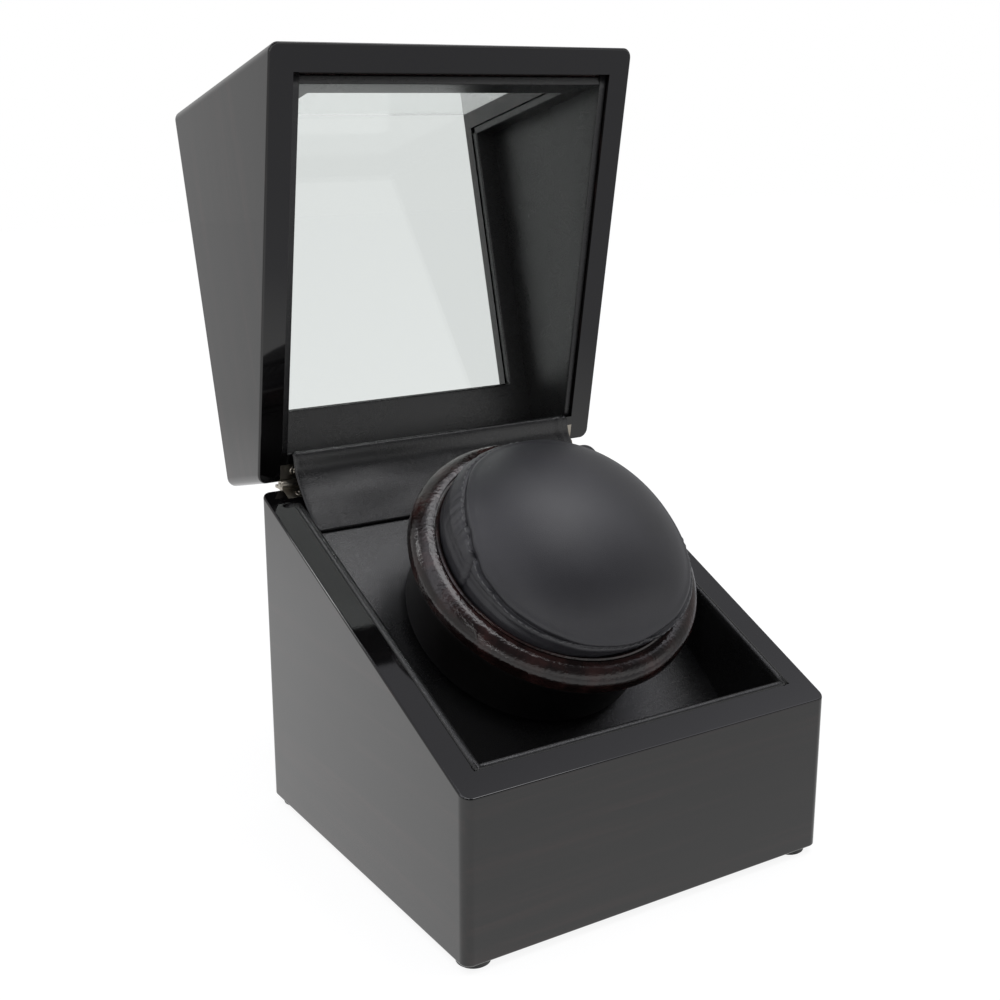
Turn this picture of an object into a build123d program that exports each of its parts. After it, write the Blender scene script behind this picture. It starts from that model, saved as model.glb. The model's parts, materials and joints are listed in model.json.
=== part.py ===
from build123d import *
from math import acos, atan2, cos, pi, radians, sin, sqrt, tan
import os

# Watch winder with a hinged, glazed lid, shown open.
# Millimetres. X to the right, Y to the back, Z up. Origin on the table, under the middle of the case.

# Case
WIDTH = 170.0
DEPTH = 165.0
FOOT_HEIGHT = 3.0
TOP = 177.5
BOARD = 10.5
TOP_BOARD = 8.0
LINING = 3.5
BACK_LINING = 0.8
LINING_PROUD = 1.2
CORNER_R = 4.0
RIM_FRONT = 68.5
RIM_BACK = 141.0
RIM_GAP = 0.6
FLOOR = 6.0
REBATE = 7.0
FOOT_R = 7.0
FOOT_IN = 8.5

# Lid
LID_OPEN = 104.5
PIVOT_OUT = 2.0
PIVOT_UP = 0.3
WINDOW_HALF = 60.5
WINDOW_BACK = 52.0
FRONT_RAIL_TOP = 92.0
PANE = 3.0
PANE_LAP = 3.0
PANE_GAP = 0.1
LINING_BACK = 0.5
LINING_UNDER = 1.6

# Drum
DRUM_TILT = 36.5
DRUM_Y = -15.3
DRUM_Z = 124.8
RING_R = 61.0
RING_BORE = 50.5
CUP_DEPTH = 42.0
SHAFT_R = 4.0
BOARD_BEHIND = 45.0
DRUM_BOARD = 6.0

# Cushion
SQUARENESS = 2.15
DOME_R = 52.5
DOME_UP = 30.0
COVER = 1.5

# Strip over the hinges
FLAP_HALF = 70.4
FLAP_THICKNESS = 1.0
FLAP_STEPS = 14

# Gear train
MODULE = 0.8
DRUM_TEETH = 60
WHEEL_TEETH = 48
PINION_TEETH = 12
GEAR_WIDTH = 4.0
LAYER_ONE = -57.0
LAYER_TWO = -62.0
PAN_FLOOR = -65.0
PRESSURE = radians(20)
BACKLASH = 0.16

# Hinges
HINGE_X = 60.0
HINGE_LENGTH = 30.0
KNUCKLE_R = 2.2
PIN_R = 1.1
LEAF = 1.2

HALF_W = WIDTH / 2
HALF_D = DEPTH / 2
INNER_W = HALF_W - BOARD
INNER_D = HALF_D - BOARD
CEILING = TOP - TOP_BOARD
TOP_LINING_Z = CEILING - LINING
SPLIT = atan2(RIM_BACK - RIM_FRONT, DEPTH)
ALONG = (cos(SPLIT), sin(SPLIT))
ACROSS = (-sin(SPLIT), cos(SPLIT))
PIVOT_Y = HALF_D + PIVOT_OUT * ALONG[0] + PIVOT_UP * ACROSS[0]
PIVOT_Z = RIM_BACK + PIVOT_OUT * ALONG[1] + PIVOT_UP * ACROSS[1]
TILT = radians(DRUM_TILT)
DRUM_PLANE = Plane(origin=(0, DRUM_Y, DRUM_Z), x_dir=(1, 0, 0), z_dir=(0, -sin(TILT), cos(TILT)))
GEAR_CENTRE = MODULE * (DRUM_TEETH + PINION_TEETH) / 2
MOTOR_CENTRE = MODULE * (WHEEL_TEETH + PINION_TEETH) / 2


def rim_z(y, above=0.0):
    """Height of the sloped split at depth y, moved square to the slope by above."""
    return RIM_FRONT + (y + HALF_D) * tan(SPLIT) + above / cos(SPLIT)


def board_z(y, above=0.0):
    """Height of the inclined drum board's covered face at depth y."""
    middle_y = DRUM_Y + BOARD_BEHIND * sin(TILT)
    middle_z = DRUM_Z - BOARD_BEHIND * cos(TILT)
    return middle_z + (y - middle_y) * tan(TILT) + above / cos(TILT)


def block(x0, x1, y0, y1, z0, z1):
    """Box between two corners."""
    middle = Pos((x0 + x1) / 2, (y0 + y1) / 2, (z0 + z1) / 2)
    return middle * Box(x1 - x0, y1 - y0, z1 - z0)


def side_prism(points, x0, x1):
    """Closed outline of (y, z) points, extruded along X."""
    face = make_face(Polyline(*points, close=True))
    return extrude(Plane.YZ.offset(x0) * face, amount=x1 - x0)


def plan_prism(points, z0, z1):
    """Closed outline of (x, y) points, extruded along Z."""
    face = make_face(Polyline(*points, close=True))
    return extrude(Pos(0, 0, z0) * face, amount=z1 - z0)


def turned(points):
    """Closed outline of (radius, height) points, revolved about Z."""
    return revolve(Plane.XZ * make_face(Polyline(*points, close=True)), Axis.Z)


def in_drum(shape):
    """Move a shape from the drum's own axes, with the ring's front face at zero, to the frame."""
    return DRUM_PLANE.location * shape


def opened(shape):
    """Swing a shape from the closed lid to the open one."""
    return shape.rotate(Axis((0, PIVOT_Y, PIVOT_Z), (1, 0, 0)), -LID_OPEN)


def on_slope(along, across):
    """(y, z) of a point measured from the back rim edge along and square to the split."""
    y = HALF_D + along * ALONG[0] + across * ACROSS[0]
    z = RIM_BACK + along * ALONG[1] + across * ACROSS[1]
    return (y, z)


# Case shells and mitres

def rounded_block(z0, z1):
    """Outer form of the whole case between two heights, with its upright edges rounded."""
    shape = block(-HALF_W, HALF_W, -HALF_D, HALF_D, z0, z1)
    return fillet(shape.edges().filter_by(Axis.Z), CORNER_R)


def below_split():
    """Everything under the rim of the base."""
    far = HALF_D + 20
    points = [(-far, -10), (far, -10), (far, rim_z(far)), (-far, rim_z(-far))]
    return side_prism(points, -HALF_W - 5, HALF_W + 5)


def above_split():
    """Everything over the rim of the closed lid."""
    far = HALF_D + 20
    low = [(-far, rim_z(-far, RIM_GAP)), (far, rim_z(far, RIM_GAP))]
    return side_prism(low + [(far, TOP + 20), (-far, TOP + 20)], -HALF_W - 5, HALF_W + 5)


def mitre(side, z0, z1):
    """Wedge of space that one wall keeps, cut at 45 degrees at the upright corners."""
    deep = BOARD + 6
    outer = [(-HALF_W - 1, -HALF_D - 1), (HALF_W + 1, -HALF_D - 1)]
    outer += [(HALF_W + 1, HALF_D + 1), (-HALF_W - 1, HALF_D + 1)]
    inner = [(-HALF_W + deep, -HALF_D + deep), (HALF_W - deep, -HALF_D + deep)]
    inner += [(HALF_W - deep, HALF_D - deep), (-HALF_W + deep, HALF_D - deep)]
    first = {"front": 0, "right": 1, "back": 2, "left": 3}[side]
    second = (first + 1) % 4
    return plan_prism([outer[first], outer[second], inner[second], inner[first]], z0, z1)


def rim_edges(shape):
    """Outer edges of the face that lies on the split."""
    slope = Vector(0, -sin(SPLIT), cos(SPLIT))
    faces = [f for f in shape.faces() if abs(abs(f.normal_at().dot(slope)) - 1) < 1e-4]
    rim = max(faces, key=lambda f: f.area)
    return rim.outer_wire().edges()


def base_shell():
    """Base before it is cut into boards, with the floor's rebate round its bottom."""
    shape = rounded_block(FOOT_HEIGHT, TOP) & below_split()
    shape -= block(-INNER_W, INNER_W, -INNER_D, INNER_D, 0, TOP)
    shape = fillet(rim_edges(shape), 0.8)
    bottom = shape.faces().sort_by(Axis.Z)[0].outer_wire().edges()
    x = INNER_W + REBATE
    y = INNER_D + REBATE
    return fillet(bottom, 1.0) - block(-x, x, -y, y, 0, FOOT_HEIGHT + FLOOR)


def lid_shell():
    """Closed lid before it is cut into boards."""
    shape = rounded_block(FOOT_HEIGHT, TOP) & above_split()
    shape = fillet(shape.faces().sort_by(Axis.Z)[-1].edges(), 2.0)
    shape = fillet(rim_edges(shape), 0.8)
    shape -= block(-INNER_W, INNER_W, -INNER_D, INNER_D, 0, CEILING)
    shape -= block(-WINDOW_HALF, WINDOW_HALF, -HALF_D - 5, WINDOW_BACK, CEILING - 1, TOP + 5)
    shape -= block(-WINDOW_HALF, WINDOW_HALF, -HALF_D - 5, -INNER_D + 1, FRONT_RAIL_TOP, TOP + 5)
    lap = WINDOW_HALF + PANE_LAP
    shape -= block(-lap, lap, -HALF_D - 5, WINDOW_BACK + PANE_LAP, TOP - PANE, TOP + 5)
    return shape - block(-lap, lap, -HALF_D - 5, -HALF_D + PANE, FRONT_RAIL_TOP - PANE_LAP, TOP + 5)


def lid_top_space():
    """Space that the lid's top board keeps, mitred to all four walls."""
    lean = BOARD / TOP_BOARD
    big = Pos(0, 0, TOP + 1) * Rectangle(WIDTH + 2 * lean, DEPTH + 2 * lean)
    small = Pos(0, 0, TOP - 2 * TOP_BOARD) * Rectangle(WIDTH - 4 * BOARD, DEPTH - 4 * BOARD)
    return loft([small, big])


# Hinges

def hinge_slots():
    """Mortises for both leaves and the scallops for the barrels, on both rims."""
    cuts = []
    for x in (-HINGE_X, HINGE_X):
        x0 = x - HINGE_LENGTH / 2
        x1 = x + HINGE_LENGTH / 2
        barrel = Pos(x, PIVOT_Y, PIVOT_Z) * Rot(0, 90, 0) * Cylinder(KNUCKLE_R + 0.4, HINGE_LENGTH + 0.4)
        base = [on_slope(-7, -LEAF), on_slope(4, -LEAF), on_slope(4, 1), on_slope(-7, 1)]
        lid = [on_slope(-7, RIM_GAP - 1), on_slope(4, RIM_GAP - 1), on_slope(4, RIM_GAP + LEAF)]
        lid += [on_slope(-7, RIM_GAP + LEAF)]
        cuts.append((barrel, side_prism(base, x0, x1), side_prism(lid, x0, x1)))
    return cuts


def knuckle(x0, x1):
    """One barrel length around the pivot, bored for the pin."""
    length = x1 - x0
    ring = Cylinder(KNUCKLE_R, length) - Cylinder(PIN_R + 0.05, length + 1)
    return Pos((x0 + x1) / 2, PIVOT_Y, PIVOT_Z) * Rot(0, 90, 0) * ring


def pivot_bore(length, radius, x):
    """Round space along the pivot, centred at x."""
    return Pos(x, PIVOT_Y, PIVOT_Z) * Rot(0, 90, 0) * Cylinder(radius, length)


def hinge_base_leaf(x):
    """Leaf let into the base rim, with the two outer knuckles and the stop shelf behind them."""
    x0 = x - HINGE_LENGTH / 2
    x1 = x + HINGE_LENGTH / 2
    plate = [on_slope(-7, -LEAF), on_slope(PIVOT_OUT, -LEAF), on_slope(PIVOT_OUT, 0), on_slope(-7, 0)]
    shape = side_prism(plate, x0, x1)
    shape += knuckle(x0, x0 + 8) + knuckle(x1 - 8, x1)
    shelf_top = PIVOT_Z - LEAF / 2 - 0.1
    for end in (x0, x1 - 8):
        shape += block(end, end + 8, PIVOT_Y + 0.8, PIVOT_Y + 5.2, shelf_top - LEAF, shelf_top)
    shape += block(x0, x1, PIVOT_Y + 2.7, PIVOT_Y + 5.2, shelf_top - LEAF, shelf_top)
    shape -= pivot_bore(HINGE_LENGTH + 2, PIN_R + 0.05, x)
    shape -= pivot_bore(HINGE_LENGTH - 16 + 0.3, KNUCKLE_R + 0.3, x)
    return shape


def hinge_lid_leaf(x):
    """Leaf let into the closed lid's rim, with the middle knuckle and its stop tail."""
    x0 = x - HINGE_LENGTH / 2
    x1 = x + HINGE_LENGTH / 2
    low = RIM_GAP
    plate = [on_slope(-7, low), on_slope(PIVOT_OUT, low)]
    plate += [on_slope(PIVOT_OUT, low + LEAF), on_slope(-7, low + LEAF)]
    shape = side_prism(plate, x0, x1)
    for middle in (x0 + 3.9, x1 - 3.9):
        shape -= pivot_bore(8, KNUCKLE_R + 0.3, middle)
    shape += knuckle(x0 + 8.1, x1 - 8.1)
    tail = block(x - 6.5, x + 6.5, PIVOT_Y + 1.5, PIVOT_Y + 4.2, PIVOT_Z - LEAF / 2, PIVOT_Z + LEAF / 2)
    shape += tail.rotate(Axis((0, PIVOT_Y, PIVOT_Z), (1, 0, 0)), LID_OPEN)
    shape -= pivot_bore(HINGE_LENGTH + 2, PIN_R + 0.05, x)
    return shape


def hinge_pin(x):
    """Plain pin with slightly domed ends."""
    shape = Pos(x, PIVOT_Y, PIVOT_Z) * Rot(0, 90, 0) * Cylinder(PIN_R, HINGE_LENGTH + 0.8)
    return chamfer(shape.edges().filter_by(GeomType.CIRCLE), 0.3)


# Base

def back_fittings():
    """Holes through the back wall for the power socket and the selector's spindle."""
    socket = Pos(-40, HALF_D - BOARD / 2, 34) * Rot(90, 0, 0) * Cylinder(5.0, BOARD + 2)
    spindle = Pos(40, HALF_D - BOARD / 2, 34) * Rot(90, 0, 0) * Cylinder(3.6, BOARD + 2)
    return socket + spindle


def base_boards():
    """Four mitred walls of the base, with the mortises and holes of their fittings."""
    shell = base_shell()
    boards = {}
    for side in ("left", "right", "front", "back"):
        boards["base_%s_board" % side] = shell & mitre(side, 0, TOP)
    back = boards["base_back_board"] - back_fittings()
    for barrel, base_slot, lid_slot in hinge_slots():
        back = back - barrel - base_slot
    boards["base_back_board"] = back
    return boards


def base_floor():
    """Bottom board, let into the walls' rebates."""
    x = INNER_W + REBATE
    y = INNER_D + REBATE
    return block(-x, x, -y, y, FOOT_HEIGHT, FOOT_HEIGHT + FLOOR)


def foot(x, y):
    """Round rubber foot, slightly tapered, with a dished underside."""
    tread = FOOT_R - 1.0
    profile = [(0, 0.5), (1.8, 0.5), (2.4, 0), (tread, 0), (tread + 0.5, 0.4), (FOOT_R, FOOT_HEIGHT - 0.4)]
    profile += [(FOOT_R, FOOT_HEIGHT), (0, FOOT_HEIGHT)]
    return Pos(x, y, 0) * turned(profile)


def base_side_lining(side):
    """Covered board along a side wall, its top edge rolled and proud of the rim."""
    low = -INNER_D
    high = INNER_D
    points = [(low, board_z(low)), (high, board_z(high))]
    points += [(high, rim_z(high, LINING_PROUD)), (low, rim_z(low, LINING_PROUD))]
    x0 = INNER_W - LINING
    shape = side_prism(points, x0, INNER_W)
    shape = fillet(top_slope_edges(shape), 1.0)
    return shape if side > 0 else mirror(shape, Plane.YZ)


def top_slope_edges(shape):
    """Long edges of a lining's sloped top."""
    slope = Vector(0, cos(SPLIT), sin(SPLIT))
    found = []
    for edge in shape.edges().filter_by(GeomType.LINE):
        run = (edge.end_point() - edge.start_point()).normalized()
        if abs(abs(run.dot(slope)) - 1) < 1e-4:
            found.append(edge)
    return found


def base_front_lining():
    """Covered board along the front wall, its top edge rolled and proud of the rim."""
    face = -INNER_D + LINING
    x = INNER_W - LINING
    points = [(-INNER_D, board_z(-INNER_D)), (face, board_z(face))]
    points += [(face, rim_z(face, LINING_PROUD)), (-INNER_D, rim_z(-INNER_D, LINING_PROUD))]
    shape = side_prism(points, -x, x)
    tops = shape.edges().filter_by(Axis.X).sort_by(Axis.Z)[-2:]
    return fillet(tops, 1.0)


def drum_board():
    """Inclined covered board, bored for the drum's bush and the idler's pin."""
    low = -INNER_D
    high = INNER_D
    points = [(low, board_z(low, -DRUM_BOARD)), (high, board_z(high, -DRUM_BOARD))]
    points += [(high, board_z(high)), (low, board_z(low))]
    shape = side_prism(points, -INNER_W, INNER_W)
    shape -= in_drum(Pos(0, 0, -48) * Cylinder(7.0, 20))
    return shape


def drum_bush():
    """Flanged bearing bush, pressed in the inclined board."""
    top = -BOARD_BEHIND + 0.9
    flange = -BOARD_BEHIND
    bore = SHAFT_R + 0.05
    profile = [(bore, -52), (6.9, -52), (6.9, flange), (10, flange), (10, top), (bore, top)]
    return in_drum(turned(profile))


# Drum

def drum_ring():
    """Glossy front ring: a broad roll, a narrow groove and a thin inner lip."""
    roll_x = 53.9
    roll_z = -3.3
    roll_up = 5.6
    groove_r = 52.6
    start = acos((groove_r - roll_x) / (RING_R - roll_x))
    start_z = roll_z + roll_up * sin(start)
    outline = [
        Polyline((groove_r, start_z), (52.3, 1.1), (51.9, 1.1), (51.9, 2.0), (51.3, 2.4), (RING_BORE, 2.1)),
        Polyline((RING_BORE, 2.1), (RING_BORE, -7), (RING_R - 0.8, -7), (RING_R, -6.2), (RING_R, roll_z)),
        EllipticalCenterArc((roll_x, roll_z), RING_R - roll_x, roll_up, arc_size=start * 180 / pi),
    ]
    face = make_face(Curve() + outline)
    return in_drum(revolve(Plane.XZ * face, Axis.Z))


def drum_cup():
    """Tapered cup behind the ring, with a hub recess."""
    floor = -CUP_DEPTH
    profile = [(0, floor), (50, floor), (52, floor + 2), (54, -9), (59.5, -9), (59.5, -7), (52, -7)]
    profile += [(50, floor + 2.5), (0, floor + 2.5)]
    shape = turned(profile)
    return in_drum(shape)


def cup_liner():
    """Soft lining on the cup's wall."""
    floor = -CUP_DEPTH + 2.5
    profile = [(51.95, -7.05), (49.95, floor + 0.05), (48.75, floor + 0.05), (50.75, -7.05)]
    return in_drum(turned(profile))


def cup_pad():
    """Foam disc on the cup's floor, which the cushion rests on."""
    floor = -CUP_DEPTH + 2.5
    profile = [(15, floor), (46, floor), (47, floor + 1), (47, -24.6), (46, -23.6), (15, -23.6)]
    return in_drum(turned(profile))


def drum_shaft():
    """Shaft with the flange that carries the cup."""
    flange = -CUP_DEPTH
    profile = [(0, flange), (14, flange), (14, flange - 2), (SHAFT_R, flange - 2)]
    profile += [(SHAFT_R, -58.5), (3.6, -59), (0, -59)]
    shape = turned(profile)
    return in_drum(shape)


# Cushion

def cushion_outline(height, half_x, half_y, shift):
    """Rounded outline of the cushion at one height, as eight arcs."""
    steps = 16
    points = []
    for i in range(steps):
        angle = 2 * pi * i / steps
        reach = (abs(cos(angle)) ** SQUARENESS + abs(sin(angle)) ** SQUARENESS) ** (-1 / SQUARENESS)
        points.append((shift + half_x * reach * cos(angle), half_y * reach * sin(angle)))
    arcs = []
    for i in range(0, steps, 2):
        arcs.append(ThreePointArc(points[i], points[i + 1], points[(i + 2) % steps]))
    return Pos(0, 0, height) * make_face(Curve() + arcs)


def band_rows(inset):
    """(height, half width, half length, shift) of the outlines under the seam."""
    rows = [(-22.0 + inset, 43.5, 45.0, 0.8), (-19.5, 45.4, 46.6, 0.8), (-8.0, 46.4, 47.6, 1.0)]
    rows += [(1.5, 46.2, 47.4, 1.2), (4.4, 47.6, 49.4, 2.0), (7.4, 49.2, 51.4, 2.6), (9.4, 49.2, 51.2, 2.6)]
    return [(height, half_x - inset, half_y - inset, shift) for height, half_x, half_y, shift in rows]


def dome_rows(inset):
    """Outlines of the dome from the seam to its top, an ellipse in section."""
    rows = []
    for part in (0.37, 0.58, 0.74, 0.86, 0.94, 0.985):
        spread = sqrt(1 - part ** 2)
        rows.append((part * DOME_UP, DOME_R * spread - inset, 1.04 * DOME_R * spread - inset, 2.8 * spread))
    top = DOME_UP - inset
    return [row for row in rows if row[0] < top - 0.4 and row[1] > 4]


def cushion_parts():
    """Domed face and side band as thin covers round a foam core, and the disc under them."""
    core = loft([cushion_outline(*row) for row in band_rows(COVER) + dome_rows(COVER)], ruled=True)
    face = loft([cushion_outline(*row) for row in dome_rows(0)], ruled=True) - core
    band = loft([cushion_outline(*row) for row in band_rows(0) + dome_rows(0)[:1]], ruled=True) - core
    disc = Pos(0, 0, -1.2) * extrude(cushion_outline(-22.0, 42.5, 44.0, 0.8), amount=1.2)
    return {"cushion_face": in_drum(face), "cushion_band": in_drum(band), "cushion_core": in_drum(core),
            "cushion_disc": in_drum(disc)}


# Gears

def involute(angle):
    """Involute of a pressure angle."""
    return tan(angle) - angle


def gear(teeth, width, bore, phase):
    """Spur gear with stub teeth on XY, its lower face at zero, one tooth centred at phase degrees.

    Each flank is cut in chords of the involute, so it stays inside the true flank: two on a
    small pinion, whose flank curves more, and one on a wheel.
    """
    pitch_r = MODULE * teeth / 2
    base_r = pitch_r * cos(PRESSURE)
    tip_r = pitch_r + 0.75 * MODULE
    root_r = pitch_r - 1.05 * MODULE
    at_pitch = pi / (2 * teeth) - BACKLASH / (4 * pitch_r)

    def half_angle(radius):
        radius = max(radius, base_r)
        return at_pitch + involute(PRESSURE) - involute(acos(base_r / radius))

    def point(radius, angle):
        return (radius * cos(angle), radius * sin(angle))

    start_r = max(base_r, root_r)
    flank = [start_r, tip_r]
    if teeth <= PINION_TEETH:
        flank.insert(1, (start_r + tip_r) / 2)
    points = []
    for i in range(teeth):
        centre = radians(phase) + 2 * pi * i / teeth
        for radius in flank:
            points.append(point(radius, centre - half_angle(radius)))
        for radius in reversed(flank):
            points.append(point(radius, centre + half_angle(radius)))
        if root_r < start_r:
            points.append(point(root_r, centre + half_angle(start_r)))
            points.append(point(root_r, centre + 2 * pi / teeth - half_angle(start_r)))
    shape = extrude(make_face(Polyline(points, close=True)), amount=width)
    return shape - Pos(0, 0, width / 2) * Cylinder(bore, width + 2)


def drum_gear():
    """Output gear on the drum's shaft, dished between hub and rim."""
    shape = gear(DRUM_TEETH, GEAR_WIDTH, SHAFT_R + 0.02, 0)
    for angle in range(0, 360, 60):
        shape -= Rot(0, 0, angle) * Pos(14.2, 0, 2) * Cylinder(3.6, 6)
    return in_drum(Pos(0, 0, LAYER_ONE) * shape)


def idler_gear():
    """Compound idler: small pinion in mesh with the drum gear, large wheel below it."""
    pinion = Pos(0, 0, LAYER_ONE) * gear(PINION_TEETH, GEAR_WIDTH, 1.55, 180 + 180 / PINION_TEETH)
    wheel = gear(WHEEL_TEETH, GEAR_WIDTH, 1.55, 0)
    hub = Cylinder(3.4, LAYER_ONE - LAYER_TWO - GEAR_WIDTH) - Cylinder(1.55, 10)
    hub = Pos(0, 0, (LAYER_ONE + LAYER_TWO + GEAR_WIDTH) / 2) * hub
    return in_drum(Pos(GEAR_CENTRE, 0, 0) * (pinion + hub + Pos(0, 0, LAYER_TWO) * wheel))


def idler_pin():
    """Steel pin between the inclined board and the pan."""
    length = -BOARD_BEHIND - DRUM_BOARD - PAN_FLOOR
    return in_drum(Pos(GEAR_CENTRE, 0, PAN_FLOOR + length / 2) * Cylinder(1.5, length))


def motor_pinion():
    """Pinion on the motor's shaft, in mesh with the idler's wheel."""
    shape = gear(PINION_TEETH, GEAR_WIDTH, 1.02, 90 + 180 / PINION_TEETH)
    return in_drum(Pos(GEAR_CENTRE, -MOTOR_CENTRE, LAYER_TWO) * shape)


def motor_rotor():
    """Motor shaft and armature."""
    profile = [(0, -57.6), (1.0, -57.6), (1.0, -70), (8.5, -70), (8.5, -86), (1.0, -86), (1.0, -91), (0, -91)]
    return in_drum(Pos(GEAR_CENTRE, -MOTOR_CENTRE, 0) * turned(profile))


def motor_can():
    """Closed steel can with a front boss and a rear bearing cup."""
    outer = [(0, -93), (3.5, -93), (3.5, -91), (12, -91), (12, PAN_FLOOR), (0, PAN_FLOOR)]
    inner = [(0, -89.5), (10.8, -89.5), (10.8, -67), (0, -67)]
    shape = turned(outer) - turned(inner) - Pos(0, 0, -79) * Cylinder(1.05, 24.6)
    shape -= Pos(0, 0, -67) * Cylinder(1.05, 8)
    for side in (-1, 1):
        shape -= Pos(side * 8, 0, -66) * Cylinder(1.25, 4)
    return in_drum(Pos(GEAR_CENTRE, -MOTOR_CENTRE, 0) * shape)


def pan_outline(extra):
    """Outline round the three gears, grown by extra."""
    drum_r = MODULE * DRUM_TEETH / 2 + 2
    wheel_r = MODULE * WHEEL_TEETH / 2 + 2
    motor = Pos(GEAR_CENTRE, -MOTOR_CENTRE) * Circle(8 + extra)
    circles = Circle(drum_r + extra) + Pos(GEAR_CENTRE, 0) * Circle(wheel_r + extra) + motor
    return make_hull(circles.edges())


def pan_ears():
    """Middles of the pan's screw ears in the drum's axes."""
    return [(-22, 23), (-22, -23), (45, 22), (6, -34)]


def gearbox_pan():
    """Shallow pressed pan that covers the gears, with four screw ears on the board's back."""
    top = -BOARD_BEHIND - DRUM_BOARD
    depth = top - PAN_FLOOR
    shape = Pos(0, 0, PAN_FLOOR) * extrude(pan_outline(1.6), amount=depth)
    for x, y in pan_ears():
        shape += Pos(x, y, top - 1) * Cylinder(5.5, 2)
    shape -= Pos(0, 0, PAN_FLOOR + 2) * extrude(pan_outline(0), amount=depth)
    shape -= Pos(GEAR_CENTRE, 0, PAN_FLOOR) * Cylinder(1.52, 10)
    shape -= Pos(GEAR_CENTRE, -MOTOR_CENTRE, PAN_FLOOR) * Cylinder(2.0, 10)
    for side in (-1, 1):
        shape -= Pos(GEAR_CENTRE + side * 8, -MOTOR_CENTRE, PAN_FLOOR) * Cylinder(1.3, 10)
    return in_drum(shape)


# Electrics

def control_board():
    """Circuit board with its driver chip, capacitor and two connectors."""
    z = FOOT_HEIGHT + FLOOR + 5
    shape = block(-62, -16, 28, 62, z, z + 1.6)
    shape += block(-46, -36, 42, 50, z + 1.6, z + 3.4)
    shape += Pos(-26, 50, z + 1.6 + 4.5) * Cylinder(3.2, 9)
    shape += block(-59, -51, 54, 60, z + 1.6, z + 7)
    shape += block(-36, -26, 30, 36, z + 1.6, z + 7)
    for x, y in post_points():
        shape -= Pos(x, y, z) * Cylinder(1.6, 6)
    return shape


def post_points():
    """Middles of the circuit board's four posts."""
    return [(-59, 31), (-19, 31), (-59, 51), (-19, 59)]


def board_posts():
    """Four posts that carry the circuit board."""
    low = FOOT_HEIGHT + FLOOR
    post = Pos(0, 0, 2.5) * Box(5, 5, 5) + Pos(0, 0, 4.4) * Cylinder(1.5, 8.8)
    return Compound([Pos(x, y, low) * post for x, y in post_points()])


def power_socket():
    """Barrel socket through the back wall, with a flange outside."""
    shape = Pos(0, 0, -6.0) * Cylinder(4.95, 15.0) + Pos(0, 0, 0.75) * Cylinder(6.5, 1.5)
    shape = shape - Pos(0, 0, -3.0) * Cylinder(2.75, 9.2) + Pos(0, 0, -4.2) * Cylinder(1.0, 8.0)
    shape += Pos(0, 0, -15.5) * Box(9, 7, 4)
    return Pos(-40, HALF_D, 34) * Rot(-90, 0, 0) * shape


def selector_body():
    """Rotary selector behind the wall."""
    inner = INNER_D
    shape = block(31, 49, inner - 9, inner, 25, 43)
    shape = fillet(shape.edges().filter_by(Axis.Y), 1.0)
    shape += Pos(40, inner + 2.5, 34) * Rot(90, 0, 0) * Cylinder(3.5, 5)
    return shape - Pos(40, inner, 34) * Rot(90, 0, 0) * Cylinder(2.05, 14)


def knob_spindle():
    """Spindle from the selector through the back wall into the knob."""
    start = INNER_D - 5
    length = HALF_D + 3 - start
    return Pos(40, start + length / 2, 34) * Rot(90, 0, 0) * Cylinder(2.0, length)


def mode_knob():
    """Turned knob with grip flutes and a pointer groove."""
    shape = turned([(0, 0), (9, 0), (9, 1.2), (8, 2.0), (7.6, 9.0), (6.8, 9.8), (0, 9.8)])
    for i in range(8):
        shape -= Rot(0, 0, i * 45) * Pos(8.6, 0, 6.4) * Cylinder(0.9, 8.0)
    shape -= Pos(3.8, 0, 9.8) * Box(6.0, 0.9, 1.0)
    shape -= Pos(0, 0, 1.75) * Cylinder(2.02, 3.6)
    return Pos(40, HALF_D + 0.4, 34) * Rot(-90, 0, 0) * shape


# Lid

def lid_boards():
    """Mitred walls and top board of the closed lid, with the hinges' mortises."""
    shell = lid_shell()
    top_space = lid_top_space()
    boards = {"lid_top_board": shell & top_space}
    walls = shell - top_space
    for side in ("left", "right", "front", "back"):
        boards["lid_%s_board" % side] = walls & mitre(side, 0, TOP + 5)
    back = boards["lid_back_board"]
    for barrel, base_slot, lid_slot in hinge_slots():
        back = back - barrel - lid_slot
    boards["lid_back_board"] = back
    return boards


def lid_panes():
    """Top and front pane, let in flush from outside on the boards' ledges, butted at the front edge."""
    lap = WINDOW_HALF + PANE_LAP - PANE_GAP
    under = TOP - PANE + PANE_GAP / 2
    top = block(-lap, lap, -HALF_D, WINDOW_BACK + PANE_LAP - PANE_GAP, under, TOP)
    edge = top.edges().filter_by(Axis.X).sort_by(Axis.Z)[-2:].sort_by(Axis.Y)[0]
    low = FRONT_RAIL_TOP - PANE_LAP + PANE_GAP
    upright = block(-lap, lap, -HALF_D, -HALF_D + PANE - PANE_GAP / 2, low, under - PANE_GAP / 2)
    return {"lid_top_pane": fillet(edge, 1.2), "lid_front_pane": upright}


def lid_side_lining(side):
    """Padded panel on a side of the lid, with a flat border round a crowned field."""
    low = -INNER_D
    high = INNER_D
    bottom = RIM_GAP + LINING_UNDER
    points = [(low, rim_z(low, bottom)), (high, rim_z(high, bottom)), (high, CEILING), (low, CEILING)]
    x0 = INNER_W - LINING
    shape = side_prism(points, x0 + 0.9, INNER_W)
    border = 5.0
    low += border + LINING
    high -= border + LINING
    bottom += border
    top = TOP_LINING_Z - border
    field = [(low, rim_z(low, bottom)), (high, rim_z(high, bottom)), (high, top), (low, top)]
    pad = side_prism(field, x0 - 0.4, x0 + 1.0)
    pad = fillet(pad.edges().filter_by(Axis.X), 4.0)
    pad = fillet(pad.faces().sort_by(Axis.X)[0].edges(), 1.2)
    shape += pad
    return shape if side > 0 else mirror(shape, Plane.YZ)


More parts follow.
